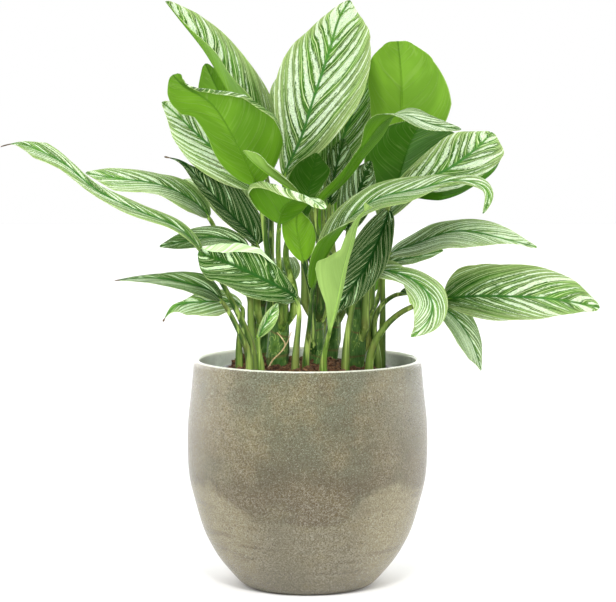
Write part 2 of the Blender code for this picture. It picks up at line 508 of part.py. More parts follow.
def add_object(name, bm, colour, roughness, smooth=True):
    """Turns a mesh in centimetres into a named object with its own material."""
    bmesh.ops.scale(bm, vec=(CM, CM, CM), verts=bm.verts)
    mesh = bpy.data.meshes.new(name)
    bm.to_mesh(mesh)
    bm.free()
    material = bpy.data.materials.new(name)
    material.use_nodes = True
    shader = material.node_tree.nodes["Principled BSDF"]
    shader.inputs["Base Color"].default_value = (*colour, 1)
    shader.inputs["Roughness"].default_value = roughness
    mesh.materials.append(material)
    if smooth:
        mesh.shade_smooth()
        mesh.set_sharp_from_angle(angle=math.radians(40))
    obj = bpy.data.objects.new(name, mesh)
    bpy.context.scene.collection.objects.link(obj)
    return obj


def add_leaf(name, leaf):
    midrib = Midrib(leaf)
    rings = [stalk_ring(midrib, t) for t in STALK_STEPS] + [blade_ring(leaf, midrib, t) for t in BLADE_STEPS]
    bm = bmesh.new()
    rows = [[bm.verts.new(point) for point in ring] for ring in rings]
    count = len(RING_ANGLES)
    for low, high in zip(rows, rows[1:]):
        for j in range(count):
            k = (j + 1) % count
            # The upper and lower sides are split along the same diagonal, so that the blade stays even.
            if count // 2 <= j < count - 1:
                corners = ((low[j], low[k], high[j]), (low[k], high[k], high[j]))
            else:
                corners = ((low[j], low[k], high[k]), (low[j], high[k], high[j]))
            for triangle in corners:
                bm.faces.new(triangle)
    foot, tip = rows[0], rows[-1]
    bm.faces.new(foot)
    for j in range(count // 2 - 1):
        bm.faces.new((tip[j], tip[j + 1], tip[count - 2 - j], tip[count - 1 - j]))
    bmesh.ops.recalc_face_normals(bm, faces=bm.faces)
    plain = leaf.faces[0][2] > 0.2
    colour = (0.2, 0.36, 0.08) if plain else (0.42, 0.55, 0.33)
    return add_object("leaf_" + name, bm, colour, 0.45)


def turned(profile, sides):
    """A closed body turned about Z from a profile of (radius, height) that starts and ends on the axis."""
    bm = bmesh.new()
    points = [bm.verts.new((radius, 0, z)) for radius, z in profile]
    edges = [bm.edges.new(pair) for pair in zip(points, points[1:])]
    bmesh.ops.spin(
        bm, geom=points + edges, cent=(0, 0, 0), axis=(0, 0, 1), angle=math.tau, steps=sides, use_merge=True
    )
    bmesh.ops.remove_doubles(bm, verts=bm.verts, dist=1e-5)
    bmesh.ops.recalc_face_normals(bm, faces=bm.faces)
    return bm


def add_planter():
    floor = PLANTER_INSIDE[-1][1]
    profile = [(0, 0)] + PLANTER_OUTSIDE + PLANTER_INSIDE + [(0, floor)]
    return add_object("planter", turned(profile, PLANTER_SIDES), (0.42, 0.4, 0.31), 0.3)


def nursery_inside(z):
    """Inner radius of the nursery pot at a height."""
    foot_radius, foot_z = NURSERY_FOOT
    top_radius, top_z = NURSERY_TOP
    return foot_radius + (top_radius - foot_radius) * (z - foot_z) / (top_z - foot_z) - NURSERY_WALL


def add_nursery_pot():
    foot_radius, foot_z = NURSERY_FOOT
    top_radius, top_z = NURSERY_TOP
    rim_radius, rim_height = NURSERY_RIM
    floor = foot_z + NURSERY_WALL
    profile = [
        (0, foot_z),
        (foot_radius, foot_z),
        (top_radius, top_z),
        (rim_radius, top_z + 0.04),
        (rim_radius, top_z + rim_height),
        (nursery_inside(top_z + rim_height), top_z + rim_height),
        (nursery_inside(floor), floor),
        (0, floor),
    ]
    return add_object("nursery_pot", turned(profile, NURSERY_SIDES), (0.012, 0.012, 0.013), 0.5)


def soil_height(x, y):
    """The soil is mounded towards the middle and lumpy, with a small heap on the left."""
    slope = max(1 - (x * x + y * y) / 8.1**2, 0)
    lumps = math.sin(1.7 * x + 0.6) * math.cos(1.9 * y) + 0.7 * math.sin(2.6 * y - 1.3 * x + 1.0)
    heap_x, heap_y, reach, rise = SOIL_HEAP
    heap = rise * math.exp(-((x - heap_x) ** 2 + (y - heap_y) ** 2) / reach**2)
    return SOIL_EDGE_HEIGHT + SOIL_MOUND * slope + (SOIL_BUMP * lumps + heap) * min(slope * 4, 1)


def soil_feet():
    """Where canes and petioles enter the soil: x, y, radius and foot height of each."""
    feet = [(c.x, c.y, c.radius, c.foot) for c in CANES.values()]
    for leaf in LEAVES.values():
        x, y, z = place(leaf.stalk[0])
        if leaf.stalk[0][1] < 21:
            feet.append((x, y, STALK_RADIUS[0], z))
    return feet


def add_soil():
    floor = NURSERY_FOOT[1] + NURSERY_WALL + GAP
    edge = nursery_inside(SOIL_EDGE_HEIGHT) - GAP - 0.02
    radii = [edge * share for share in (0.94, 0.85, 0.74, 0.62, 0.49, 0.35, 0.2)]
    profile = [(0, floor), (nursery_inside(floor) - GAP - 0.02, floor), (edge, SOIL_EDGE_HEIGHT - 0.2)]
    profile += [(radius, SOIL_EDGE_HEIGHT) for radius in radii] + [(0, SOIL_EDGE_HEIGHT)]
    bm = turned(profile, NURSERY_SIDES)
    for vert in bm.verts:
        if vert.co.z > SOIL_EDGE_HEIGHT - 0.01:
            vert.co.z = soil_height(vert.co.x, vert.co.y)
    soil = add_object("soil", bm, (0.055, 0.03, 0.02), 0.95)

    holes = bmesh.new()
    for x, y, radius, foot in soil_feet():
        made = bmesh.ops.create_cone(
            holes,
            cap_ends=True,
            segments=HOLE_SIDES,
            radius1=(radius + 0.06) / math.cos(math.pi / HOLE_SIDES),
            radius2=(radius + 0.06) / math.cos(math.pi / HOLE_SIDES),
            depth=6,
        )
        bmesh.ops.translate(holes, verts=made["verts"], vec=(x, y, foot - GAP + 3))
    cutter = add_object("soil_holes", holes, (0.05, 0.03, 0.02), 1, smooth=False)
    cutter.hide_render = True
    cutter.display_type = "WIRE"
    cut = soil.modifiers.new("Holes", "BOOLEAN")
    cut.operation = "DIFFERENCE"
    cut.object = cutter
    return soil


def add_cane(name, cane):
    """A leaning cane with a groove at each node and a domed top."""
    heights, widths = [cane.foot, 22.4], [1.0, 1.0]
    z = 22.9
    while z < cane.top - 1.2:
        heights += [z, z + 0.12, z + 0.24]
        widths += [1.0, 0.93, 1.0]
        z += NODE_SPACING
    heights += [cane.top - 0.4, cane.top - 0.1, cane.top]
    widths += [1.0, 0.8, 0.3]
    bm = bmesh.new()
    rows = []
    for z, width in zip(heights, widths):
        share = (z - cane.foot) / (cane.top - cane.foot)
        lean = min(max((z - 22.4) / (cane.top - 22.4), 0), 1)
        x, y = cane.x + (cane.top_x - cane.x) * lean, cane.y + (cane.top_y - cane.y) * lean
        radius = (cane.radius + (cane.top_radius - cane.radius) * share) * width
        made = bmesh.ops.create_circle(bm, cap_ends=False, segments=CANE_SIDES, radius=radius)
        bmesh.ops.translate(bm, verts=made["verts"], vec=(x, y, z))
        rows.append(made["verts"])
    for low, high in zip(rows, rows[1:]):
        for j in range(CANE_SIDES):
            k = (j + 1) % CANE_SIDES
            bm.faces.new((low[j], low[k], high[k], high[j]))
    bm.faces.new(rows[0][::-1])
    bm.faces.new(rows[-1])
    bmesh.ops.recalc_face_normals(bm, faces=bm.faces)
    return add_object("stem_" + name, bm, (0.08, 0.2, 0.07), 0.5)


def main():
    for obj in list(bpy.data.objects):
        bpy.data.objects.remove(obj, do_unlink=True)
    whole = bpy.data.objects.new("potted_chinese_evergreen", None)
    bpy.context.scene.collection.objects.link(whole)
    made = [add_planter(), add_nursery_pot(), add_soil()]
    made += [add_cane(name, cane) for name, cane in CANES.items()]
    made += [add_leaf(name, leaf) for name, leaf in LEAVES.items()]
    for obj in made:
        obj.parent = whole


main()
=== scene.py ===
"""A Chinese evergreen with striped leaves in a glazed planter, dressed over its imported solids.

Each operator makes one kind of piece, in the place of the plain solid that it stands for. Shapes are worked
out in centimetres, and each piece is scaled to metres when it is finished.
"""

import math
import random
from collections import namedtuple

import bmesh
import bpy
import numpy as np
from bpy.props import FloatProperty, FloatVectorProperty, IntProperty, PointerProperty
from bpy.types import Operator, Panel, PropertyGroup
from mathutils import Matrix, Vector, noise


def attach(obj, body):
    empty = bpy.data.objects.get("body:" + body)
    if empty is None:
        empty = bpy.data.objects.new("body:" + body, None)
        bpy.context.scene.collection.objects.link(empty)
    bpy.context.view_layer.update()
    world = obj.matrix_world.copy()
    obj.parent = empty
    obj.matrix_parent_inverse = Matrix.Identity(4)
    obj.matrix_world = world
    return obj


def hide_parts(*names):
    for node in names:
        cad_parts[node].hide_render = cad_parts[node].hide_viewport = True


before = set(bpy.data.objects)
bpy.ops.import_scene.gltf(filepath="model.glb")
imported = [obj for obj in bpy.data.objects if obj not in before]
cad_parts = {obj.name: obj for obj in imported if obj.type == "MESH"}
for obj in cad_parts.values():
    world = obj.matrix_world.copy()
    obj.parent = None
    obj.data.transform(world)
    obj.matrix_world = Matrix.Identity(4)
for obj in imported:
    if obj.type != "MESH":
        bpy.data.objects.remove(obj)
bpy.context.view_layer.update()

bl_info = {
    "name": "Potted Chinese Evergreen",
    "version": (1, 0, 0),
    "blender": (4, 5, 0),
    "location": "3D View > Sidebar > Evergreen",
    "description": "Grows a striped Chinese evergreen in its nursery pot and glazed planter",
    "category": "Add Mesh",
}

CM = 0.01

# Leaf points are (across, up, behind): where the point shows, in centimetres on the upright plane through
# the planter's axis, to an eye in front of it, and how far behind that plane it lies.
EYE_DISTANCE = 250.0
EYE_HEIGHT = 51.0

# Radius of a petiole at its foot, in its middle and at the blade, and its clearance from a cane.
STALK_RADIUS = (0.45, 0.28, 0.22)
STALK_CLEARANCE = 0.04

# A cane: foot x and y, top x and y, foot and top height, radius at foot and top. It leans from the height
# where it leaves the soil.
Cane = namedtuple("Cane", "x y top_x top_y foot top radius top_radius")
CANES = {
    "left": Cane(-3.0, -1.6, -2.6, -1.4, 19.6, 29.0, 1.3, 0.75),
    "rear_left": Cane(-4.4, 2.6, -4.6, 2.6, 19.6, 30.0, 0.8, 0.55),
    "middle": Cane(0.9, 0.6, 0.8, 0.8, 19.6, 30.0, 0.9, 0.6),
    "right": Cane(4.9, -0.6, 5.2, -0.6, 19.6, 29.0, 0.95, 0.6),
    "rear": Cane(2.4, 5.2, 2.8, 5.4, 19.6, 29.0, 0.8, 0.55),
}
CANE_LEAN_START = 22.4
CANE_NODE_START = 22.9
CANE_NODE_SPACING = 2.4

# width is the blade's greatest half width; faces gives the way its upper side looks along the blade; folds
# the lift of its left and right halves in degrees; shape its widest place and fullness; trim what is cut
# from each half's width.
Leaf = namedtuple(
    "Leaf",
    "stalk blade width faces folds shape trim",
    defaults=([(0, 12, 12), (1, 8, 8)], (0.95, 0.6), [(0, 1, 1), (1, 1, 1)]),
)


def beside(cane, angle, height):
    """The foot of a petiole against a cane: angle in degrees from the front, growing to the right."""
    c = CANES[cane]
    points = []
    for z in (height, height + 2.0):
        share = (z - c.foot) / (c.top - c.foot)
        reach = c.radius + (c.top_radius - c.radius) * min(share, 1) + STALK_RADIUS[0] + STALK_CLEARANCE
        x = c.x + (c.top_x - c.x) * share + reach * math.sin(math.radians(angle))
        y = c.y + (c.top_y - c.y) * share - reach * math.cos(math.radians(angle))
        nearer = 1 + y / EYE_DISTANCE
        points.append((x / nearer, EYE_HEIGHT - (EYE_HEIGHT - z) / nearer, y))
    return points


def in_soil(across, behind):
    """The foot of a petiole that stands upright in the soil."""
    return [(across, 20.2, behind), (across, 22.5, behind)]


LEAVES = {
    "top_left": Leaf(
        beside("rear_left", 60, 28.0) + [(-3.6, 36.5, 3.0)],
        [(-4.6, 43.0, 3.6), (-6.4, 47.0, 4.2), (-8.2, 49.9, 4.6), (-10.1, 53.1, 4.8), (-12.2, 55.8, 4.6),
         (-14.0, 58.1, 4.2)],
        4.3,
        [(0, 0.8, -0.4, 0.3), (1, 0.7, -0.45, 0.6)],
        [(0, 45, 38), (1, 45, 30)],
        shape=(0.88, 0.6),
        trim=[(0, 1.4, 1), (0.2, 1.4, 1), (0.3, 1.15, 0.96), (0.4, 0.9, 0.9), (0.5, 0.75, 0.85),
              (0.6, 0.7, 0.82), (0.7, 0.5, 0.8), (0.8, 0.3, 0.76), (0.9, 0.2, 0.85), (1, 0.5, 1)],
    ),
    "small_behind_left": Leaf(
        beside("rear_left", 130, 27.5) + [(-4.2, 37.0, 5.6)],
        [(-5.2, 42.5, 7.0), (-7.9, 47.6, 8.2), (-10.1, 52.0, 8.6)],
        3.0,
        [(0, 0.3, 0.8, 0.4), (1, 0.3, 0.8, 0.4)],
        shape=(1.2, 0.5),
        trim=[(0, 1, 1), (0.7, 1, 1), (0.85, 0.5, 1), (1, 0.6, 1)],
    ),
    "plain_left": Leaf(
        beside("left", -55, 27.3) + [(-4.2, 35.0, -2.8)],
        [(-5.1, 40.0, -3.0), (-6.7, 43.4, -4.2), (-8.4, 46.6, -5.6), (-10.1, 48.5, -6.8), (-12.0, 49.6, -7.8),
         (-13.3, 50.9, -8.6)],
        4.8,
        [(0, 0.2, 0.85, 0.4), (1, 0.2, 0.75, 0.55)],
        shape=(1.05, 0.55),
        trim=[(0, 1, 1), (0.2, 1.18, 0.8), (0.4, 0.98, 0.58), (0.5, 0.78, 0.57), (0.6, 0.65, 0.6),
              (0.7, 0.3, 0.85), (0.8, 0.12, 0.87), (0.9, 0.1, 1), (0.95, 0.3, 1), (1, 1, 1)],
    ),
    "striped_left": Leaf(
        beside("rear_left", -30, 27.5) + [(-5.3, 34.5, 1.0)],
        [(-5.6, 39.6, 0.9), (-8.0, 42.4, 0.4), (-10.6, 44.7, -0.6), (-12.8, 46.8, -1.8), (-14.4, 48.2, -2.6)],
        2.7,
        [(0, 0.3, -0.8, 0.5), (1, 0.3, -0.8, 0.5)],
        trim=[(0, 1.2, 1), (0.5, 1.25, 1), (0.8, 1.35, 1), (1, 1, 1)],
    ),
    "top_centre": Leaf(
        beside("middle", -70, 28.3) + [(-0.9, 35.5, 0.6)],
        [(-2.3, 40.6, 1.0), (-1.0, 43.8, 1.8), (0.4, 47.9, 3.1), (1.5, 51.2, 4.2), (2.5, 54.4, 5.0),
         (3.2, 56.6, 5.5), (4.2, 58.2, 5.9)],
        4.5,
        [(0, -0.15, -0.95, 0.3), (1, -0.15, -0.95, 0.3)],
        shape=(1.25, 0.75),
        trim=[(0, 1, 1.1), (0.35, 0.98, 1.14), (0.6, 0.92, 1.07), (0.7, 0.87, 1.09), (0.8, 0.72, 1.12),
              (0.85, 0.68, 1.31), (0.9, 0.65, 1.7), (0.94, 0.7, 2.05), (0.97, 0.8, 1.9), (1, 1, 1.5)],
    ),
    "top_behind": Leaf(
        beside("middle", 150, 28.3) + [(1.6, 35.5, 4.2)],
        [(1.8, 40.0, 6.0), (3.4, 44.4, 7.4), (4.5, 47.4, 8.2), (5.1, 50.2, 8.7), (5.6, 52.4, 9.0)],
        2.8,
        [(0, -0.2, -0.9, 0.3), (1, -0.2, -0.9, 0.3)],
    ),
    "centre_small": Leaf(
        beside("middle", 75, 27.6) + [(2.0, 33.0, 0.9)],
        [(2.2, 38.0, 1.6), (2.8, 41.5, 2.6), (3.6, 44.6, 3.3)],
        1.7,
        [(0, -0.2, -0.9, 0.3), (1, -0.2, -0.9, 0.3)],
        trim=[(0, 0.4, 1), (0.4, 0.45, 1), (0.7, 0.75, 1), (1, 1, 1)],
    ),
    "centre_plain": Leaf(
        beside("middle", 25, 27.8) + [(0.2, 33.0, -0.6)],
        [(-0.3, 36.4, -0.4), (0.2, 39.8, -0.2), (0.9, 43.2, 0.0)],
        2.3,
        [(0, 0.1, 0.9, 0.3), (1, 0.1, 0.9, 0.3)],
        trim=[(0, 0.3, 1), (0.4, 0.35, 1), (0.6, 0.6, 1), (0.8, 1, 1), (1, 1, 1)],
    ),
    "centre_dark": Leaf(
        beside("right", -150, 27.2) + [(4.3, 32.0, 0.8)],
        [(4.0, 35.4, 0.0), (4.7, 38.2, -1.2), (5.5, 40.4, -2.2), (6.3, 42.4, -3.0)],
        1.8,
        [(0, -0.2, -0.9, 0.3), (1, -0.2, -0.9, 0.3)],
    ),
    "plain_right": Leaf(
        beside("rear", 60, 28.3) + [(7.6, 36.5, 4.6)],
        [(8.6, 41.5, 4.4), (9.1, 45.5, 3.8), (9.3, 50.0, 2.6), (8.9, 54.2, 1.0)],
        4.7,
        [(0, 0, 0.95, 0.2), (1, 0, 0.9, 0.4)],
        [(0, 10, 30), (1, 10, 30)],
        shape=(1.15, 0.48),
        trim=[(0, 1, 1), (0.3, 1.04, 0.78), (0.5, 1.09, 0.76), (0.6, 1.02, 0.82), (0.7, 0.94, 0.85),
              (0.8, 0.87, 0.88), (0.9, 0.97, 1.07), (0.95, 1.05, 1.2), (1, 1.3, 1.5)],
    ),
    "arching": Leaf(
        beside("right", -95, 27.8) + [(1.9, 33.5, -2.6)],
        [(1.0, 37.9, -3.6), (3.0, 40.2, -4.2), (4.6, 42.6, -4.8), (6.1, 44.6, -5.2), (7.7, 46.4, -5.8),
         (9.4, 46.9, -6.4), (11.6, 46.2, -7.0), (15.2, 45.5, -7.8)],
        2.5,
        [(0, -0.7, 0.5, 0.5), (0.5, -0.3, 0.4, 0.85), (0.8, 0.1, -0.45, 0.85), (1, 0.1, -0.5, 0.85)],
        shape=(0.95, 0.55),
        trim=[(0, 1, 1), (0.1, 1, 0.6), (0.2, 1, 0.35), (0.3, 1, 0.15), (0.4, 1, 0.15), (0.5, 1, 0.6),
              (0.6, 1, 1), (0.7, 0.95, 1), (0.8, 0.75, 1), (1, 1, 1)],
    ),
    "plain_inner_right": Leaf(
        beside("right", 150, 28.0) + [(6.9, 34.0, 1.2)],
        [(8.2, 38.0, 0.6), (9.3, 41.5, 0.0), (10.2, 44.3, -1.2), (11.4, 46.5, -2.2)],
        4.2,
        [(0, -0.4, 0.7, 0.5), (1, -0.4, 0.7, 0.5)],
        shape=(1.1, 0.5),
        trim=[(0, 1, 1), (0.5, 1.1, 1), (0.65, 1.15, 1), (0.8, 1.8, 1), (0.9, 2.4, 1), (1, 1, 1)],
    ),
    "right_upper": Leaf(
        beside("right", 85, 28.3) + [(7.4, 35.0, -2.2)],
        [(8.8, 39.2, -3.0), (11.2, 40.4, -3.4), (13.4, 41.3, -3.4), (15.2, 42.4, -3.0), (16.8, 43.7, -2.0),
         (18.3, 45.2, -0.2)],
        3.2,
        [(0, -0.2, -0.6, 0.75), (1, 0.1, -0.6, 0.75)],
        shape=(1.1, 0.55),
        trim=[(0, 1, 1.4), (0.3, 1, 1.65), (0.45, 1, 1.5), (0.75, 1, 1.1), (1, 1, 1)],
    ),
    "front_right": Leaf(
        in_soil(-0.2, -3.2) + [(0.2, 26.5, -3.8)],
        [(0.5, 29.7, -4.4), (1.5, 32.4, -5.0), (3.3, 35.3, -5.9), (5.6, 37.8, -7.0), (8.2, 39.0, -8.0),
         (11.2, 39.6, -8.8), (15.0, 40.4, -9.6), (17.8, 39.3, -10.2), (17.4, 37.2, -10.6)],
        2.6,
        [(0, -0.85, -0.1, 0.5), (0.2, -0.8, -0.2, 0.55), (0.4, -0.2, -0.5, 0.85), (0.8, 0, -0.5, 0.85),
         (1, 0.9, -0.4, 0.2)],
        [(0, 60, 45), (0.2, 60, 45), (0.4, 20, 15), (1, 10, 10)],
        trim=[(0, 0.6, 1.2), (0.15, 0.75, 1.3), (0.25, 0.85, 1.2), (0.35, 0.75, 1.1), (0.5, 0.73, 1.2),
              (0.6, 0.75, 1.3), (0.7, 0.6, 0.7), (0.78, 0.3, 0.2), (0.88, 0.8, 0.6), (1, 1, 1)],
    ),
    "right_middle": Leaf(
        in_soil(7.4, 1.2) + [(7.5, 29.0, 1.3)],
        [(8.2, 33.0, 0.8), (10.4, 34.0, -0.4), (13.0, 35.0, -1.8), (15.2, 35.4, -3.0), (18.8, 34.8, -4.4),
         (22.8, 33.8, -5.4)],
        2.1,
        [(0, -0.2, -0.6, 0.75), (1, 0.1, -0.5, 0.8)],
        trim=[(0, 1, 1.3), (0.3, 0.9, 1.5), (0.45, 0.78, 1.8), (0.6, 0.85, 1.7), (0.7, 0.95, 1.2),
              (0.8, 1, 0.6), (0.9, 1, 0.3), (1, 1, 1)],
    ),
    "right_small": Leaf(
        beside("right", 126, 24.6) + [(7.2, 29.5, 2.3)],
        [(7.6, 31.8, 2.8), (9.6, 32.6, 2.4), (13.5, 33.5, 1.6)],
        1.1,
        [(0, -0.2, -0.6, 0.75), (1, 0.1, -0.5, 0.8)],
    ),
    "right_lower": Leaf(
        in_soil(6.2, -2.4) + [(7.5, 25.6, -2.8), (10.0, 27.7, -3.6)],
        [(13.6, 28.6, -4.4), (16.4, 28.9, -5.0), (19.4, 28.9, -5.4), (22.4, 28.8, -5.6), (25.4, 28.5, -5.6),
         (29.1, 27.8, -5.4)],
        3.3,
        [(0, 0.0, -0.8, 0.55), (1, 0.1, -0.8, 0.5)],
        [(0, 14, 24), (1, 6, 10)],
        shape=(0.92, 0.55),
        trim=[(0, 1.6, 1.1), (0.1, 1.5, 1.1), (0.2, 1.2, 1.15), (0.35, 1.02, 1.07), (0.6, 1, 0.87),
              (0.8, 1, 0.67), (0.9, 1, 0.62), (1, 1, 1)],
    ),
    "right_drooping": Leaf(
        in_soil(7.0, -0.4) + [(6.9, 27.2, -0.8)],
        [(9.2, 29.2, -1.6), (12.0, 28.6, -2.0), (14.4, 27.0, -2.0), (16.2, 24.6, -1.6), (17.3, 21.5, -1.0)],
        2.0,
        [(0, 0.1, -0.5, 0.85), (1, 0.8, -0.5, 0.4)],
        [(0, 20, 20), (1, 10, 10)],
        trim=[(0, 1, 0.7), (0.3, 1, 0.75), (0.45, 1, 1.6), (0.6, 1, 2.1), (0.8, 1, 2), (0.9, 1, 1.6),
              (1, 1, 1)],
    ),
    "right_arch": Leaf(
        in_soil(3.8, -3.4) + [(4.6, 28.5, -3.6)],
        [(5.8, 31.2, -4.2), (8.6, 31.3, -5.6), (11.2, 30.0, -6.8), (12.4, 28.0, -7.4), (11.8, 26.2, -7.6),
         (10.3, 24.9, -7.4)],
        2.0,
        [(0, -0.1, -0.7, 0.65), (0.5, 0.5, -0.7, 0.5), (1, 0.6, -0.6, -0.2)],
        trim=[(0, 1, 1), (0.2, 0.8, 0.85), (0.3, 0.5, 0.65), (0.4, 0.65, 0.65), (0.5, 0.8, 1.2),
              (0.6, 1, 1.6), (0.8, 1, 1.7), (0.9, 1, 1.6), (1, 1, 1)],
    ),
    "hanging": Leaf(
        beside("right", 30, 26.0) + [(6.2, 33.0, -2.4), (7.4, 36.8, -3.6)],
        [(8.0, 37.4, -4.8), (7.2, 35.0, -5.5), (6.2, 32.6, -5.8), (4.7, 30.2, -5.9), (2.8, 27.3, -5.6)],
        2.3,
        [(0, 0.1, -0.8, 0.4), (1, 0.2, -0.8, 0.3)],
        [(0, 20, 20), (1, 10, 10)],
        trim=[(0, 0.74, 1), (1, 0.74, 1)],
    ),
    "front_upright": Leaf(
        in_soil(1.6, -5.4),
        [(2.2, 25.4, -5.8), (2.7, 27.3, -6.4), (3.2, 29.6, -7.1), (3.7, 32.1, -8.1), (4.3, 34.3, -9.4),
         (5.1, 36.6, -10.6), (6.2, 37.9, -11.4)],
        3.0,
        [(0, 0.1, 0.9, 0.1), (1, 0.1, 0.9, 0.2)],
        [(0, 60, 12), (1, 60, 20)],
        shape=(1.0, 0.3),
        trim=[(0, 0.2, 0.15), (0.17, 0.2, 0.41), (0.3, 0.2, 0.77), (0.4, 0.2, 0.95), (0.45, 0.2, 0.93),
              (0.5, 0.2, 0.62), (0.55, 0.2, 0.43), (0.6, 0.2, 0.27), (0.7, 0.2, 0.25), (0.8, 0.17, 0.16),
              (0.95, 0.1, 0.1), (1, 1, 1)],
    ),
    "front_centre": Leaf(
        beside("left", 10, 26.8) + [(-2.9, 33.0, -3.6)],
        [(-2.8, 36.1, -4.6), (-2.6, 37.2, -5.8), (-2.0, 38.1, -7.2), (-0.9, 38.6, -8.8), (0.4, 38.5, -10.2),
         (1.7, 37.6, -11.2)],
        3.4,
        [(0, 0.2, 0.8, 0.5), (0.5, 0.2, 0.6, 0.75), (0.8, 0.2, 0, 0.95), (1, 0.4, -0.4, 0.8)],
        [(0, 20, 20), (1, 10, 10)],
        trim=[(0, 0.8, 1.4), (0.2, 0.65, 1.4), (0.3, 0.6, 1.2), (0.4, 0.55, 0.88), (0.5, 0.5, 0.55),
              (0.6, 0.48, 0.38), (0.7, 0.45, 0.25), (0.85, 0.5, 0.3), (1, 1, 1)],
    ),
    "centre_folded": Leaf(
        beside("middle", -20, 24.5) + [(0.4, 29.0, -1.0)],
        [(-0.4, 32.4, -1.6), (-0.9, 34.7, -2.2), (-1.1, 36.4, -2.8), (-0.9, 37.6, -3.6)],
        1.7,
        [(0, 0.2, 0.8, 0.4), (1, 0.2, 0.8, 0.5)],
        [(0, 20, 20), (1, 10, 10)],
    ),
    "rolled": Leaf(
        beside("left", 80, 27.6) + [(-2.15, 33.0, -0.7), (-1.5, 36.0, -1.1)],
        [(-0.9, 38.3, -2.2), (-2.2, 39.9, -3.8), (-3.8, 41.0, -5.3), (-5.2, 42.1, -6.3), (-6.4, 43.4, -6.9)],
        1.2,
        [(0, 0.3, 0.8, 0.5), (1, 0.3, 0.8, 0.5)],
        [(0, 30, 50), (1, 30, 50)],
        trim=[(0, 0.35, 1), (0.3, 0.4, 1), (0.5, 0.5, 1), (0.7, 0.6, 1), (0.9, 1.2, 1.2), (1, 1, 1)],
    ),
    "left_long": Leaf(
        in_soil(-5.4, -3.2) + [(-7.6, 28.6, -4.2)],
        [(-10.5, 33.4, -5.0), (-13.2, 35.9, -5.6), (-15.8, 37.0, -5.9), (-18.8, 38.3, -6.2),
         (-21.4, 39.8, -6.2), (-24.0, 42.0, -6.0), (-26.6, 43.4, -5.7), (-28.8, 44.1, -5.4),
         (-30.4, 43.8, -5.2)],
        2.1,
        [(0, 0.3, -0.5, 0.8), (0.5, 0.4, -0.4, 0.8), (1, 0.2, -0.6, 0.8)],
        [(0, 20, 10), (0.5, 10, 5), (1, 10, 10)],
        shape=(1.0, 0.5),
        trim=[(0, 1, 1), (0.2, 0.95, 0.7), (0.4, 0.9, 0.57), (0.5, 0.8, 0.55), (0.62, 0.65, 0.4),
              (0.7, 0.7, 0.45), (0.82, 1.2, 0.92), (0.9, 0.8, 0.5), (0.95, 0.1, 0.1), (1, 0.3, 0.3)],
    ),
    "left_upper": Leaf(
        beside("rear_left", -100, 26.0) + [(-8.5, 34.0, 1.0)],
        [(-9.8, 36.8, 0.8), (-12.3, 39.0, 0.2), (-15.6, 40.2, -0.4), (-18.8, 40.6, -1.0),
         (-22.0, 41.2, -1.6)],
        2.6,
        [(0, 0.1, -0.5, 0.85), (1, 0.1, -0.5, 0.85)],
        trim=[(0, 1.3, 1), (0.2, 1.5, 1), (0.3, 1.3, 0.8), (0.45, 1, 0.65), (0.6, 0.95, 0.66),
              (0.7, 1.15, 0.68), (0.8, 1.5, 0.8), (0.9, 1.3, 0.9), (1, 1, 1)],
    ),
    "left_narrow": Leaf(
        beside("left", -120, 27.6) + [(-4.6, 32.0, -0.8)],
        [(-5.0, 34.0, -1.2), (-7.2, 36.6, -1.6), (-9.4, 39.0, -2.2), (-11.4, 41.2, -2.8), (-12.8, 42.4, -3.4),
         (-14.2, 42.8, -3.8)],
        3.1,
        [(0, 0.3, -0.75, 0.6), (1, 0.3, -0.5, 0.8)],
        [(0, 15, 8), (1, 10, 10)],
        shape=(0.85, 0.55),
        trim=[(0, 0.55, 1.05), (0.4, 0.5, 1), (0.6, 0.5, 0.85), (0.7, 0.45, 0.45), (0.8, 0.4, 0.22),
              (0.9, 0.2, 0.15), (0.96, 0.08, 0.08), (1, 0.5, 0.5)],
    ),
    "left_small": Leaf(
        in_soil(-5.4, -1.7) + [(-5.6, 29.5, -1.9)],
        [(-5.9, 33.8, -3.3), (-7.8, 34.6, -3.8), (-9.8, 34.8, -3.5), (-12.2, 34.4, -3.3),
         (-14.7, 33.9, -3.4)],
        1.35,
        [(0, 0.1, -0.7, 0.65), (1, 0.1, -0.6, 0.75)],
    ),
    "left_front": Leaf(
        in_soil(-1.2, -5.0) + [(-0.9, 26.0, -5.2)],
        [(-1.1, 28.5, -5.6), (-3.2, 30.0, -6.6), (-5.8, 31.3, -7.4), (-8.2, 32.3, -8.0), (-10.9, 33.2, -8.4)],
        2.7,
        [(0, -0.2, -0.8, 0.5), (1, -0.1, -0.8, 0.55)],
        trim=[(0, 1, 0.5), (0.1, 0.9, 0.45), (0.2, 0.8, 0.55), (0.4, 0.9, 0.7), (0.5, 0.95, 0.85),
              (0.7, 1.05, 0.85), (0.8, 1.2, 0.75), (0.9, 2, 0.85), (0.96, 2.6, 1), (1, 2, 1)],
    ),
    "left_lower": Leaf(
        in_soil(-5.8, -4.5) + [(-7.2, 26.2, -5.2)],
        [(-8.6, 28.5, -6.0), (-9.8, 29.5, -6.4), (-11.6, 30.1, -6.8), (-14.0, 30.6, -7.2),
         (-16.4, 30.7, -7.4), (-19.2, 30.5, -7.4)],
        1.3,
        [(0, 0.3, -0.6, 0.7), (1, 0.0, -0.3, 0.95)],
        [(0, 20, 20), (1, 10, 10)],
        shape=(0.7, 0.75),
        trim=[(0, 1, 1), (0.1, 1.8, 1.1), (0.2, 2, 1.3), (0.4, 1.55, 1.03), (0.6, 1.7, 0.62),
              (0.8, 1.5, 0.6), (1, 1, 0.8)],
    ),
    "left_lowest": Leaf(
        in_soil(-6.8, -0.6) + [(-6.7, 25.6, -1.4)],
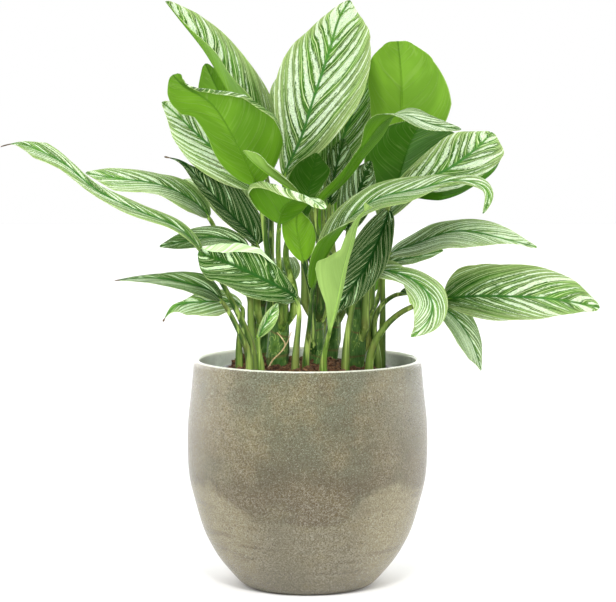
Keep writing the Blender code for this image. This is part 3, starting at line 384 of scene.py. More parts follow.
        [(-6.6, 27.9, -2.0), (-8.6, 28.4, -2.9), (-11.0, 28.3, -3.8), (-13.3, 27.8, -4.2),
         (-14.4, 26.4, -4.4)],
        1.8,
        [(0, 0.0, -0.6, 0.75), (1, -0.4, -0.6, 0.6)],
        shape=(0.85, 0.7),
        trim=[(0, 0.9, 1), (0.2, 1.1, 1), (0.4, 1.5, 0.9), (0.5, 1.35, 0.72), (0.6, 1.2, 0.45),
              (0.7, 1.35, 0.25), (0.8, 0.8, 0.3), (0.9, 0.25, 0.25), (0.96, 0.15, 0.15), (1, 1, 1)],
    ),
    "front_small": Leaf(
        in_soil(-4.7, -5.6),
        [(-4.9, 24.8, -5.8), (-4.4, 26.0, -6.0), (-3.7, 27.2, -6.2), (-3.0, 28.3, -6.4)],
        0.9,
        [(0, 0.6, -0.6, 0.2), (1, 0.6, -0.5, 0.4)],
        [(0, 30, 30), (1, 20, 20)],
    ),
    "back_centre": Leaf(
        beside("rear", 185, 27.5) + [(2.4, 36.0, 9.0)],
        [(2.4, 38.5, 11.0), (2.0, 40.5, 14.0), (1.2, 40.2, 17.5), (0.4, 37.5, 21.0), (0.0, 34.0, 23.0)],
        3.4,
        [(0, 0, -0.5, 0.8), (0.5, 0, 0.4, 0.9), (1, 0, 0.8, 0.5)],
    ),
    "back_right": Leaf(
        beside("rear", 110, 27.3) + [(6.2, 34.0, 7.4)],
        [(7.4, 36.5, 9.2), (9.6, 39.4, 11.6), (12.0, 41.0, 14.4), (14.2, 41.2, 17.4), (15.6, 40.0, 20.0)],
        3.0,
        [(0, 0, -0.4, 0.8), (0.5, 0.2, 0.3, 0.9), (1, 0.4, 0.6, 0.7)],
    ),
    "back_left": Leaf(
        beside("rear_left", 180, 25.0) + [(-6.0, 32.0, 6.8)],
        [(-6.8, 35.6, 8.8), (-8.0, 38.6, 11.4), (-9.2, 40.2, 14.4), (-10.4, 40.4, 17.6), (-11.6, 39.4, 20.0)],
        3.0,
        [(0, 0, -0.4, 0.8), (0.5, -0.2, 0.3, 0.9), (1, -0.4, 0.6, 0.7)],
    ),
    "back_right_low": Leaf(
        beside("rear", 160, 24.0) + [(3.6, 28.0, 9.6)],
        [(4.0, 29.8, 11.4), (4.6, 31.4, 14.2), (5.2, 31.8, 17.2), (5.6, 30.6, 20.2), (5.8, 28.6, 22.4)],
        2.8,
        [(0, 0, -0.2, 0.9), (0.5, 0.1, 0.4, 0.9), (1, 0.2, 0.8, 0.4)],
    ),
    "back_left_low": Leaf(
        beside("rear", 225, 24.5) + [(-0.8, 28.5, 8.6)],
        [(-1.6, 30.4, 10.8), (-3.0, 32.0, 13.6), (-4.4, 32.4, 16.8), (-5.4, 31.2, 19.6), (-6.0, 29.4, 21.6)],
        2.8,
        [(0, 0, -0.2, 0.9), (0.5, -0.1, 0.4, 0.9), (1, -0.2, 0.8, 0.4)],
    ),
    "back_top": Leaf(
        beside("rear", 260, 28.0) + [(0.2, 38.0, 7.2)],
        [(-0.4, 42.0, 9.0), (-0.6, 46.0, 11.4), (-0.4, 49.6, 14.4), (0.4, 51.6, 18.0)],
        3.4,
        [(0, 0, -0.8, 0.6), (1, 0, -0.5, 0.9)],
        shape=(1.1, 0.6),
    ),
}


def place(point):
    """A leaf point's real place, (x, y, z) in centimetres."""
    across, up, behind = point
    farther = 1 + behind / EYE_DISTANCE
    return np.array([across * farther, behind, EYE_HEIGHT + (up - EYE_HEIGHT) * farther])


def smooth_line(points, count=600):
    """A natural cubic spline through the points, with the distance of each point and sample along it."""
    p = np.array([place(q) for q in points])
    steps = np.linalg.norm(np.diff(p, axis=0), axis=1)
    knots = np.concatenate([[0], np.cumsum(steps)])
    n = len(p)
    system, load = np.eye(n), np.zeros((n, 3))
    for i in range(1, n - 1):
        system[i, i - 1 : i + 2] = steps[i - 1], 2 * (steps[i - 1] + steps[i]), steps[i]
        load[i] = 6 * ((p[i + 1] - p[i]) / steps[i] - (p[i] - p[i - 1]) / steps[i - 1])
    bend = np.linalg.solve(system, load)
    at = np.linspace(0, knots[-1], count)
    i = np.clip(np.searchsorted(knots, at, side="right") - 1, 0, n - 2)
    h = steps[i][:, None]
    a = (knots[i + 1] - at)[:, None]
    b = (at - knots[i])[:, None]
    line = (bend[i] * a**3 + bend[i + 1] * b**3) / (6 * h)
    line += (p[i] / h - bend[i] * h / 6) * a + (p[i + 1] / h - bend[i + 1] * h / 6) * b
    return line, knots, at


def between(t, places, columns):
    """Rows read off at t from columns of values given at places."""
    return np.stack([np.interp(t, places, column) for column in columns], axis=-1)


def keyed(keys, t):
    """Values of keys [(t, value, ...), ...] between their places."""
    return between(t, [key[0] for key in keys], zip(*[key[1:] for key in keys]))


def unit(v):
    """Vectors of the same directions, one long."""
    return v / np.linalg.norm(v, axis=-1, keepdims=True)


class Midrib:
    """The line that a leaf follows: t runs from -1 at its foot to 0 at the blade's base and 1 at the tip."""

    def __init__(self, leaf):
        line, knots, at = smooth_line(leaf.stalk + leaf.blade)
        length = np.concatenate([[0], np.cumsum(np.linalg.norm(np.diff(line, axis=0), axis=1))])
        base = np.interp(knots[len(leaf.stalk)], at, length)
        self.t = np.where(length < base, length / base - 1, (length - base) / (length[-1] - base))
        self.line = line
        along = unit(np.gradient(line, length, axis=0))
        faces = keyed(leaf.faces, np.clip(self.t, 0, 1))
        # The facing changes gradually, by its mean over some samples to either side.
        spread = 20
        padded = np.pad(faces, ((spread, spread), (0, 0)), mode="edge")
        window = np.ones(2 * spread + 1) / (2 * spread + 1)
        faces = np.stack([np.convolve(column, window, mode="valid") for column in padded.T], axis=1)
        self.normal = unit(faces - (faces * along).sum(1, keepdims=True) * along)
        self.side = np.cross(along, self.normal)

    def at(self, t):
        """The point, the upper side's normal and the direction to the right at t."""
        line, normal, side = (between(t, self.t, values.T) for values in (self.line, self.normal, self.side))
        return line, unit(normal), unit(side)


def half_width(leaf, t):
    """Width of half the blade at t, before trim, with a rounded end."""
    peak, fullness = leaf.shape
    narrowing = np.clip((t - 0.8) / 0.2, 0, 1)
    round_off = 1 - 0.35 * narrowing**2 * (3 - 2 * narrowing)
    return leaf.width * np.abs(np.sin(np.pi * t**peak)) ** fullness * round_off + 0.05


# How each leaf looks: tone from 0 for the dark inner leaves, partly painted shade, to 1 for the fresh outer
# ones, silver for how much of the upper side the pale stripes cover, wave for how far the margins ripple, dry
# for a browned tip, shade for how much painted shade darkens the under side beside its tone.
Look = namedtuple("Look", "tone silver wave dry shade", defaults=(0.7, 0.6, 0.5, 0.0, 0.0))
LOOKS = {
    "top_left": Look(0.8, 0.5, 0.3),
    "small_behind_left": Look(0.4, 0.4),
    "plain_left": Look(0.42, 0.85, 0.2),
    "striped_left": Look(0.8, 0.9, 0.4),
    "top_centre": Look(0.85, 0.85, 0.3),
    "top_behind": Look(0.75, 0.7),
    "centre_small": Look(0.3, 0.35),
    "centre_plain": Look(0.1, 0.4),
    "centre_dark": Look(0.25, 0.6),
    "plain_right": Look(0.84, 0.8, 0.1),
    "arching": Look(0.42, 0.9, 0.2, shade=0.42),
    "plain_inner_right": Look(0.15, 0.3, 0.1, shade=0.3),
    "right_upper": Look(0.8, 0.6, 0.6),
    "front_right": Look(0.65, 0.7, 0.6, shade=0.6),
    "right_middle": Look(0.75, 0.95, 0.7),
    "right_small": Look(0.6, 0.5),
    "right_lower": Look(0.65, 0.55, 0.5),
    "right_drooping": Look(0.45, 0.6, 0.2),
    "right_arch": Look(0.85, 0.75, 0.3),
    "hanging": Look(0.1, 0.1, 0.3),
    "front_upright": Look(0.95, 0.6, 0.2, shade=0.32),
    "front_centre": Look(0.74, 1.0, 0.2, shade=0.6),
    "centre_folded": Look(0.6, 0.6, 0.2, shade=0.2),
    "rolled": Look(0.9, 0.95, 0.2),
    "left_long": Look(0.75, 0.5, 0.6, 1.0),
    "left_upper": Look(0.72, 0.75, 0.7),
    "left_narrow": Look(0.04, 0.1, 0.3, 1.0),
    "left_small": Look(0.3, 0.45, 0.4),
    "left_front": Look(0.28, 0.42, 0.4),
    "left_lower": Look(0.35, 0.5, 0.3, 1.0),
    "left_lowest": Look(0.75, 0.75, 0.4, 1.0),
    "front_small": Look(0.85, 0.8, 0.2),
}
# Leaves with no look of their own stand at the back, with painted shade on their under side.
FAR_LOOK = Look(0.65, 0.6, shade=0.6)

# A margin that curls over: whether it is the right one, how far round it goes in degrees, below 0 for over
# the under side, how wide it is in centimetres, how far towards the tip it is widest, from 1 for the middle,
# and how its under side shows, from -1 for dark with painted shade to 1 for pale.
Curl = namedtuple("Curl", "right degrees width outward pale")
CURLED_MARGINS = {
    "plain_left": Curl(False, -150, 0.7, 1.0, 0.0),
    "front_centre": Curl(True, -150, 1.0, 1.0, 0.0),
    "left_front": Curl(True, 165, 1.5, 2.6, 1.0),
    # Its curled margin carries painted shade.
    "right_upper": Curl(True, 160, 1.3, 0.5, -0.8),
    "rolled": Curl(False, -140, 0.5, 1.0, 0.0),
}
CURL_RADIUS = 0.2

BLADE_ACROSS = 24
BLADE_ALONG = 84
TUBE_SIDES = 12
# What each point of a leaf carries for its materials: its place from -1 to 1 across the blade and along the
# leaf, the count of the side veins, the distance from the midrib, the channel of the petiole, how pale the
# under side shows, or below 0 how much painted shade darkens it, and the leaf's own seed and look.
LEAF_VALUES = ("across", "along", "vein", "rib", "tone", "silver", "seed", "dry", "groove", "pale")
GROOVE_DEPTH = 0.3
# A petiole that starts above this height stands on a cane. Its sheath runs down this far, and inward to this
# distance from the cane's axis.
SHEATH_START = 23
SHEATH_LENGTH = 1.8
SHEATH_END = 0.35

# Profiles of turned pieces are (radius, height).
PLANTER_SIDES = 160
PLANTER_OUTSIDE = [
    (6.1, 0.0), (6.7, 0.35), (7.3, 0.95), (8.7, 2.6), (9.65, 4.1), (10.45, 5.8), (11.15, 8.1), (11.82, 10.9),
    (12.0, 13.8), (11.93, 16.6), (11.65, 19.2), (11.42, 21.6), (11.36, 22.3), (11.2, 22.62), (11.05, 22.7),
]
PLANTER_INSIDE = [
    (10.88, 22.62), (10.8, 22.35), (10.95, 20.6), (11.3, 16.8), (11.3, 13.0), (10.8, 9.4), (9.7, 5.8),
    (8.3, 3.3), (7.0, 1.6), (5.9, 0.9),
]
# The inside glaze covers what faces the axis by more than this, and what lies flat below this height.
PLANTER_INWARD = 1.135
PLANTER_FLOOR_ZONE = 5
NURSERY_SIDES = 96
NURSERY_PROFILE = [
    (0, 0.93), (5.4, 0.93), (5.5, 1.0), (8.35, 21.2), (8.68, 21.24), (8.75, 21.3), (8.75, 21.64), (8.7, 21.7),
    (8.32, 21.7), (8.25, 21.66), (5.36, 1.15), (0, 1.15),
]
SOIL_SIDES = 120
SOIL_FOOT = (5.2, 1.15)
SOIL_RADIUS = 8.1
SOIL_EDGE_HEIGHT = 21.2
SOIL_MOUND = 0.95
SOIL_BUMP = 0.22
SOIL_GRAIN = 0.28
# x and y of the heap beside the left cane, its reach and its rise.
SOIL_HEAP = (-6.4, 1.6, 2.2, 1.4)

# Courses of the thin aerial roots, and their radius at either end.
ROOT_COURSES = [
    [(-3.9, -2.5, 22.0), (-3.4, -2.7, 22.9), (-2.6, -2.75, 23.7), (-2.0, -2.5, 24.6), (-1.6, -2.2, 25.6)],
    [(-2.5, -2.8, 23.8), (-2.2, -2.9, 24.4), (-2.5, -2.75, 25.0), (-3.0, -2.6, 25.6)],
    [(-1.5, -3.6, 22.2), (-1.2, -3.7, 22.75), (-0.8, -3.65, 22.6), (-0.9, -3.6, 22.2)],
]
ROOT_RADIUS = (0.075, 0.045)

# The floor lies just below the planter's foot, in metres. The camera looks down by this many degrees.
FLOOR_HEIGHT = -0.0002
FLOOR_COLOUR = (0.97, 0.97, 0.97)
CAMERA_PITCH = 5.15
CAMERA_SHIFT = 0.0008
CAMERA_SENSOR = 36


def srgb(red, green, blue):
    """A screen colour, from 0 to 255, as the linear colour that a material takes."""
    shares = [channel / 255 for channel in (red, green, blue)]
    return tuple(c / 12.92 if c <= 0.04045 else ((c + 0.055) / 1.055) ** 2.4 for c in shares)


def colour(name, description, red, green, blue):
    """A colour setting, given as a screen colour."""
    return FloatVectorProperty(
        name=name, description=description, default=srgb(red, green, blue), size=3, min=0, max=1,
        subtype="COLOR",
    )


def metres(name, description, default, low, high):
    """A length setting in metres."""
    return FloatProperty(
        name=name, description=description, default=default, min=low, max=high, unit="LENGTH"
    )


def amount(name, description, default, high=1e4):
    """A setting that is a plain number from 0 up."""
    return FloatProperty(name=name, description=description, default=default, min=0, max=high)


class FoliageSettings(PropertyGroup):
    """Sizes and colours of the leaves and canes."""

    thickness: metres("Blade thickness", "Thickness of a blade beside its midrib", 0.0007, 0.0003, 0.0015)
    arch: amount("Arch", "Rise of each half blade as a share of its width", 0.045, 0.1)
    silver: colour("Silver", "Pale stripes of the upper side", 230, 248, 222)
    lime: colour("Lime", "Fine lines along the veins", 208, 228, 146)
    green: colour("Green", "Upper side between the stripes", 94, 156, 48)
    dark: colour("Dark green", "Feathered edges of the stripes, and the inner leaves", 8, 50, 4)
    rib: colour("Midrib", "Band along the midrib of the upper side", 68, 130, 54)
    under: colour("Under side", "Fresh green of the under side", 138, 194, 46)
    under_dark: colour("Shaded under side", "Under side of the inner leaves", 38, 86, 6)
    under_pale: colour("Young under side", "Under side of the youngest leaf", 178, 206, 122)
    petiole: colour("Petiole", "Leaf stalks", 96, 126, 46)
    petiole_dark: colour("Shaded petiole", "Streaks, and the stalks of the inner leaves", 40, 70, 26)
    petiole_light: colour("Light petiole", "Pale streaks of the stalks", 166, 190, 98)
    petiole_tan: colour("Aged petiole", "Brownish blotches of the stalks", 122, 110, 62)
    cane: colour("Cane", "Old stems near the soil", 74, 106, 54)
    dry: colour("Dry tip", "Withered tips", 92, 74, 48)


class PotSettings(PropertyGroup):
    """Colours of the planter, the nursery pot and the soil."""

    glaze: colour("Glaze", "Main colour of the outside", 101, 92, 60)
    glaze_grey: colour("Grey-green glaze", "Cool patches of the outside", 86, 89, 68)
    glaze_brown: colour("Brown glaze", "Warm patches and the band round the belly", 60, 45, 15)
    # Painted reflection: this lighter colour below the belly stands in for the pale floor seen in the glaze.
    painted_floor_reflection: colour("Low glaze", "Lighter glaze below the belly", 94, 87, 66)
    # Painted light: this pale colour is a painted highlight on the planter's left and right sides.
    painted_side_light: colour("Pale glaze", "Thin glaze that lightens the two sides", 216, 202, 158)
    inside: colour("Inside", "Celadon glaze of the inside", 236, 242, 228)
    lip: colour("Lip", "Glaze worn pale on the rim", 214, 215, 198)
    gloss: amount("Glaze roughness", "Roughness of the glaze", 0.22, 1)
    plastic: colour("Nursery pot", "Black plastic of the nursery pot", 30, 30, 29)
    soil: colour("Soil", "Damp potting soil", 138, 104, 76)
    crumbs: IntProperty(name="Crumbs", description="Loose crumbs on the soil", default=2200, min=0, max=4000)
    crumb_size: metres("Crumb size", "Radius of a large crumb", 0.0037, 0.0005, 0.005)


class StageSettings(PropertyGroup):
    """Camera, floor and light."""

    distance: metres("Camera distance", "From the camera to the planter's axis", 2.5, 0.5, 20)
    height: metres("Camera height", "Above the floor", 0.51, 0, 10)
    lens: amount("Lens", "Focal length in millimetres", 147.3, 400)
    key: amount("Key light", "Power of the main light in watts", 26.0)
    fill: amount("Fill light", "Power of the fill light in watts", 30.0)
    beam: amount("Stalk beam", "Power of the beam on the stalks in watts", 55.0)
    rim: amount("Rim beam", "Power of the beam inside the rim in watts", 1400.0)
    foot: amount("Foot beam", "Power of the beam at the foot in watts", 150.0)
    room: amount("Room light", "Strength of the light from in front", 0.42)
    overhead: amount("Overhead", "Strength of the light from above", 1.6)


class EvergreenSettings(PropertyGroup):
    """All settings of the potted evergreen."""

    foliage: PointerProperty(type=FoliageSettings)
    pot: PointerProperty(type=PotSettings)
    stage: PointerProperty(type=StageSettings)


class Nodes:
    """A node tree under way, with a short call for each kind of node that is used."""

    def __init__(self, tree):
        self.tree = tree

    def node(self, kind, **values):
        """A node with its inputs set, named as they are or by number as _0."""
        made = self.tree.nodes.new(kind)
        for name, value in values.items():
            key = int(name[1:]) if name.startswith("_") else name.replace("_", " ")
            self.put(made.inputs[key], value)
        return made

    def put(self, socket, value):
        """Sets an input: an output is linked to it, and anything else is its value."""
        if isinstance(value, bpy.types.NodeSocket):
            self.tree.links.new(value, socket)
        elif socket.type == "RGBA":
            socket.default_value = (*value[:3], 1)
        else:
            socket.default_value = value

    def attributes(self, *names):
        """The numbers that the mesh carries under these names."""
        outputs = []
        for name in names:
            made = self.node("ShaderNodeAttribute")
            made.attribute_name = name
            outputs.append(made.outputs["Fac"])
        return outputs

    def place(self):
        """The point on the piece, in metres."""
        return self.node("ShaderNodeTexCoord").outputs["Object"]

    def split(self, vector):
        """x, y and z of a vector."""
        made = self.node("ShaderNodeSeparateXYZ", Vector=vector)
        return made.outputs["X"], made.outputs["Y"], made.outputs["Z"]

    def vector(self, x, y, z):
        """A vector from its parts."""
        return self.node("ShaderNodeCombineXYZ", X=x, Y=y, Z=z).outputs["Vector"]

    def math(self, operation, a, b=0.0, c=0.0):
        """The result of one Math node."""
        made = self.node("ShaderNodeMath", _0=a, _1=b, _2=c)
        made.operation = operation
        return made.outputs["Value"]

    def times(self, a, b):
        """The product of two numbers."""
        return self.math("MULTIPLY", a, b)

    def swayed(self, base, pattern, by):
        """base, moved by a pattern whose mean is a half."""
        return self.math("MULTIPLY_ADD", self.math("SUBTRACT", pattern, 0.5), by, base)

    def noise(self, vector, scale=1.0, detail=2.0, roughness=0.5, distortion=0.0):
        """Noise from 0 to 1 over a vector."""
        made = self.node(
            "ShaderNodeTexNoise", Vector=vector, Scale=scale, Detail=detail, Roughness=roughness,
            Distortion=distortion,
        )
        return made.outputs["Fac"]

    def grained(self, parts, detail=2.0, roughness=0.5, distortion=0.0):
        """Noise over three coordinates, each with its own scale, given as (coordinate, scale)."""
        scaled = [self.times(coordinate, scale) for coordinate, scale in parts]
        return self.noise(self.vector(*scaled), 1.0, detail, roughness, distortion)

    def cells(self, vector, scale):
        """Distance from the middle of the nearest of scattered cells."""
        return self.node("ShaderNodeTexVoronoi", Vector=vector, Scale=scale).outputs["Distance"]

    def step(self, value, low, high, start=0.0, end=1.0):
        """A smooth step from start to end as value goes from low to high."""
        made = self.node(
            "ShaderNodeMapRange", Value=value, From_Min=low, From_Max=high, To_Min=start, To_Max=end
        )
        made.interpolation_type = "SMOOTHSTEP"
        return made.outputs["Result"]

    def ridge(self, value, centre, half):
        """1 where value meets centre, and 0 further than half away."""
        return self.step(self.math("ABSOLUTE", self.math("SUBTRACT", value, centre)), 0.0, half, 1.0, 0.0)

    def blend(self, share, a, b):
        """Colour a with a share of colour b."""
        made = self.node("ShaderNodeMix")
        made.data_type = "RGBA"
        for socket, value in ((0, share), (6, a), (7, b)):
            self.put(made.inputs[socket], value)
        return made.outputs[2]

    def layered(self, body, *coats):
        """A colour with coats laid over it in turn, each given as (share, colour)."""
        for share, coat in coats:
            body = self.blend(share, body, coat)
        return body

    def relief(self, height, distance, strength=1.0, under=None):
        """A normal bent by a height, on top of the relief under it."""
        made = self.node("ShaderNodeBump", Height=height, Distance=distance, Strength=strength)
        if under is not None:
            self.put(made.inputs["Normal"], under)
        return made.outputs["Normal"]


class Surface(Nodes):
    """A procedural material under way: its nodes and the Principled shader that ends them."""

    def __init__(self, name, roughness, specular):
        self.material = bpy.data.materials.new(name)
        self.material.use_nodes = True
        super().__init__(self.material.node_tree)
        self.shader = self.tree.nodes["Principled BSDF"].inputs
        self.put(self.shader["Roughness"], roughness)
        self.put(self.shader["Specular IOR Level"], specular)

    def finish(self, colour, roughness, normal):
        """Ends the material with its colour, roughness and normal."""
        for name, value in (("Base Color", colour), ("Roughness", roughness), ("Normal", normal)):
            self.put(self.shader[name], value)
        return self.material


def upper_side(settings):
    """Silver stripes slanting forward from the midrib, with ragged dark edges and fine lime veins between."""
    s = Surface("leaf upper side", 0.5, 0.07)
    vein, across, rib, seed = s.attributes("vein", "across", "rib", "seed")
    along, tone, silver, dry = s.attributes("along", "tone", "silver", "dry")
    out = s.math("ABSOLUTE", across)
    grit = s.noise(s.place(), 1100.0, 3.0, 0.75)
    slow = s.grained([(vein, 0.5), (across, 1.2), (seed, 5.0)], 1.0)
    frayed = s.grained([(vein, 9.0), (rib, 4.0), (seed, 1.0)], 4.0, 0.75)
    grain = s.grained([(vein, 7.0), (rib, 1.2), (seed, 1.0)], 3.0, 0.65)
    cloud = s.grained([(vein, 0.8), (rib, 0.6), (seed, 9.0)], 2.0)

    # One stripe lies between two veins. It shows where its wavering course passes a level that changes from
    # vein to vein by chance, and its edges are torn.
    course = s.math("MULTIPLY_ADD", slow, 1.3, vein)
    torn = s.swayed(s.swayed(course, frayed, 0.8), grit, 0.25)
    luck = s.grained([(s.math("FLOOR", course), 3.7), (seed, 11.0), (across, 0.3)], 0.0)
    level = s.math("ADD", s.step(silver, 0.0, 1.0, 1.0, 0.48), s.step(along, 0.1, 0.9, 0.2, -0.08))
    level = s.math("ADD", level, s.step(out, 0.4, 0.95, 0.0, 0.3))
    level = s.swayed(s.swayed(level, luck, 1.5), cloud, 1.3)
    excess = s.math("SUBTRACT", s.times(s.math("PINGPONG", torn, 0.5), 2.0), level)
    stripe = s.times(s.step(excess, -0.04, 0.08), s.step(rib, 0.04, 0.2))
    edge = s.times(s.step(excess, -0.4, -0.06), s.step(excess, -0.06, 0.0, 1.0, 0.0))
    edge = s.times(edge, s.step(s.math("FRACT", course), 0.45, 0.55, 0.5, 1.0))

    # Leaves of low tone are dark green all over, partly painted shade of the inner leaves; the rest are
    # darker towards the blade's base.
    inner = s.step(along, 0.05, 0.8, 1.0, 0.0)
    deep = s.times(inner, s.step(tone, 0.5, 0.9, 0.95, 0.35))
    deep = s.math("MAXIMUM", s.step(tone, 0.05, 0.8, 1.0, 0.0), deep)
    green = s.layered(
        s.blend(deep, settings.green, settings.dark),
        (s.step(cloud, 0.35, 0.6, 0.5, 0.0), settings.dark),
        (s.step(grain, 0.35, 0.55, 0.5, 0.0), settings.dark),
        (s.times(edge, 0.9), settings.dark),
        (s.step(grit, 0.36, 0.56, 0.35, 0.0), settings.dark),
        (s.times(s.step(grain, 0.5, 0.7), s.step(deep, 0.2, 0.9, 0.3, 0.05)), settings.lime),
        (s.times(s.step(grit, 0.52, 0.68), s.step(deep, 0.2, 1.0, 0.22, 0.06)), settings.lime),
        (s.times(s.step(out, 0.5, 1.0, 0.0, 0.3), s.step(tone, 0.3, 0.9)), settings.lime),
    )

    # Fine pale lines follow the veins, and a finer one runs between each two.
    gap = s.math("PINGPONG", course, 0.5)
    finer = s.math("PINGPONG", s.math("MULTIPLY_ADD", slow, 0.9, s.times(course, 2.0)), 0.5)
    fine_line = s.times(s.step(finer, 0.0, 0.08, 1.0, 0.0), s.step(out, 0.05, 0.6, 0.3, 0.85))
    line = s.math("MAXIMUM", s.step(gap, 0.01, 0.05, 1.0, 0.0), fine_line)
    line = s.times(s.times(line, s.step(rib, 0.05, 0.25)), s.step(frayed, 0.32, 0.5, 0.35, 1.0))
    milky = s.layered(
        s.blend(s.step(grain, 0.42, 0.62, 0.4, 0.0), settings.silver, settings.lime),
        (s.step(frayed, 0.34, 0.5, 0.5, 0.0), green),
        (s.step(grit, 0.38, 0.52, 0.5, 0.0), green),
        (s.step(deep, 0.3, 1.0, 0.0, 0.45), settings.green),
    )
    ragged = s.swayed(rib, frayed, 0.5)
    band = s.times(s.step(ragged, 0.04, 0.24, 1.0, 0.0), s.step(along, 0.55, 0.95, 1.0, 0.2))
    body = s.layered(
        green,
        (s.times(line, s.step(deep, 0.0, 1.0, 0.95, 0.6)), s.blend(0.25, settings.lime, settings.silver)),
        (s.times(stripe, 0.95), milky),
        (s.times(band, 0.85), s.blend(deep, settings.rib, settings.dark)),
        (s.times(s.step(out, 0.96, 0.99), s.step(frayed, 0.4, 0.6, 0.0, 0.5)), settings.lime),
        (s.times(dry, s.step(along, 0.945, 0.96)), settings.dry),
    )

    relief = s.relief(s.step(gap, 0.0, 0.3), 0.0009, 0.45)
    relief = s.relief(slow, 0.004, 0.5, relief)
    relief = s.relief(s.math("MAXIMUM", line, s.times(stripe, 0.4)), 0.0002, 0.4, relief)
    return s.finish(body, s.step(frayed, 0.3, 0.7, 0.36, 0.5), relief)


def under_side(settings):
    """Plain fresh green, creased at the midrib, with a faint net of slanting veins, and painted shade."""
    s = Surface("leaf under side", 0.5, 0.1)
    vein, across, rib, seed, tone, pale = s.attributes("vein", "across", "rib", "seed", "tone", "pale")
    cloud = s.grained([(vein, 0.4), (across, 0.9), (seed, 1.0)], 2.0)
    veins = s.grained([(vein, 1.5), (across, 0.4), (seed, 3.0)], 1.0)
    fine = s.grained([(vein, 9.0), (across, 1.5), (seed, 1.0)], 3.0)
    streaks = s.grained([(vein, 3.0), (rib, 0.5), (seed, 1.0)], 3.0, 0.6)
    net = s.ridge(veins, 0.5, 0.03)
    shown = s.step(pale, 0.0, 1.0)
    body = s.layered(
        # Leaves of low tone take the shaded under side colour, partly painted shade.
        s.blend(s.step(tone, 0.0, 0.75), settings.under_dark, settings.under),
        (s.step(tone, 0.8, 1.0), settings.under_pale),
        (s.step(cloud, 0.35, 0.7, 0.35, 0.0), settings.under_dark),
        # Painted shade: the half below 0 across is darker.
        (s.step(across, -0.1, 0.1, 0.22, 0.0), settings.under_dark),
        (s.math("MULTIPLY_ADD", net, 0.1, s.step(fine, 0.5, 0.8, 0.0, 0.14)), settings.under_pale),
        (s.step(s.math("ABSOLUTE", across), 0.97, 0.99, 0.0, 0.5), settings.under_pale),
        # Painted shade along the midrib crease, less on the youngest leaves.
        (s.times(s.step(rib, 0.0, 0.14, 0.6, 0.0), s.step(tone, 0.85, 1.0, 1.0, 0.3)), settings.under_dark),
        (s.times(shown, s.step(streaks, 0.3, 0.6, 0.25, 0.85)), settings.silver),
        (s.times(shown, s.step(streaks, 0.5, 0.7, 0.4, 0.0)), settings.under),
        # Painted shade where the pale value is below 0.
        (s.step(pale, -1.0, 0.0, 1.0, 0.0), settings.under_dark),
    )
    relief = s.relief(s.math("MULTIPLY_ADD", net, 0.6, veins), 0.0014, 0.45)
    relief = s.relief(fine, 0.0002, 0.4, relief)
    return s.finish(body, s.step(fine, 0.3, 0.7, 0.4, 0.54), relief)


def petiole_skin(settings):
    """Green stalks, streaked lengthwise and paler along the groove, and as a midrib like the under side."""
    s = Surface("petiole", 0.5, 0.12)
    tone, along, seed, groove, pale = s.attributes("tone", "along", "seed", "groove", "pale")
    x, y, z = s.split(s.place())
    streaks = s.grained([(x, 900.0), (y, 900.0), (z, 22.0)], 3.0, 0.6)
    bands = s.grained([(x, 260.0), (y, 260.0), (z, 9.0)], 2.0)
    blotches = s.grained([(x, 60.0), (y, 60.0), (z, 30.0)], 2.0)
    luck = s.noise(s.vector(s.times(seed, 60.0), 0.5, 0.5), 1.0, 0.0)
    # Stalks of low-tone inner leaves are darker, partly painted shade.
    fresh = s.swayed(s.times(tone, 0.6), luck, 1.6)
    tan = s.times(s.step(blotches, 0.5, 0.7, 0.0, 0.5), s.step(z, 0.21, 0.32, 1.0, 0.3))
    midrib = s.layered(
        s.blend(s.step(tone, 0.0, 0.75), settings.under_dark, settings.under),
        (s.step(tone, 0.8, 0.95, 0.4, 0.0), settings.under_dark),
        (s.step(tone, 0.9, 0.95, 0.0, 0.6), settings.under_pale),
        # The under side's painted shade runs on along the midrib.
        (s.step(pale, -1.0, 0.0, 1.0, 0.0), settings.under_dark),
    )
    body = s.layered(
        s.blend(s.step(fresh, 0.0, 0.7), settings.petiole_dark, settings.petiole),
        (s.step(bands, 0.34, 0.5, 0.85, 0.0), settings.petiole_dark),
        (s.step(streaks, 0.35, 0.62, 0.5, 0.0), settings.petiole_dark),
        (s.step(bands, 0.54, 0.66, 0.0, 0.75), settings.petiole_light),
        (s.step(streaks, 0.55, 0.8, 0.0, 0.45), settings.petiole_light),
        (s.times(groove, 0.4), settings.petiole_light),
        (tan, settings.petiole_tan),
        (s.step(along, -0.02, 0.06), midrib),
    )
    return s.finish(body, s.step(streaks, 0.3, 0.7, 0.32, 0.5), s.relief(streaks, 0.0003, 0.6))


def cane_skin(settings):
    """Bluish green cane with pale rings, fine cracks and brown scars at the nodes."""
    s = Surface("cane", 0.5, 0.1)
    (scar,) = s.attributes("scar")
    place = s.place()
    x, y, z = s.split(place)
    streaks = s.grained([(x, 500.0), (y, 500.0), (z, 40.0)], 4.0, 0.65)
    bands = s.grained([(x, 150.0), (y, 150.0), (z, 45.0)], 2.0, 0.5, 0.8)
    patches = s.noise(place, 70.0, 3.0, 0.6)
    body = s.layered(
        s.blend(s.step(streaks, 0.3, 0.6, 0.4, 1.0), settings.petiole_dark, settings.cane),
        (s.step(bands, 0.36, 0.5, 0.8, 0.0), settings.petiole_dark),
        (s.step(patches, 0.5, 0.7, 0.0, 0.5), settings.petiole),
        (s.times(s.ridge(bands, 0.56, 0.02), 0.6), settings.petiole_light),
        (s.times(scar, s.step(patches, 0.35, 0.55, 0.5, 1.0)), settings.dry),
    )
    return s.finish(body, s.step(streaks, 0.3, 0.7, 0.35, 0.6), s.relief(bands, 0.0012, 0.6))


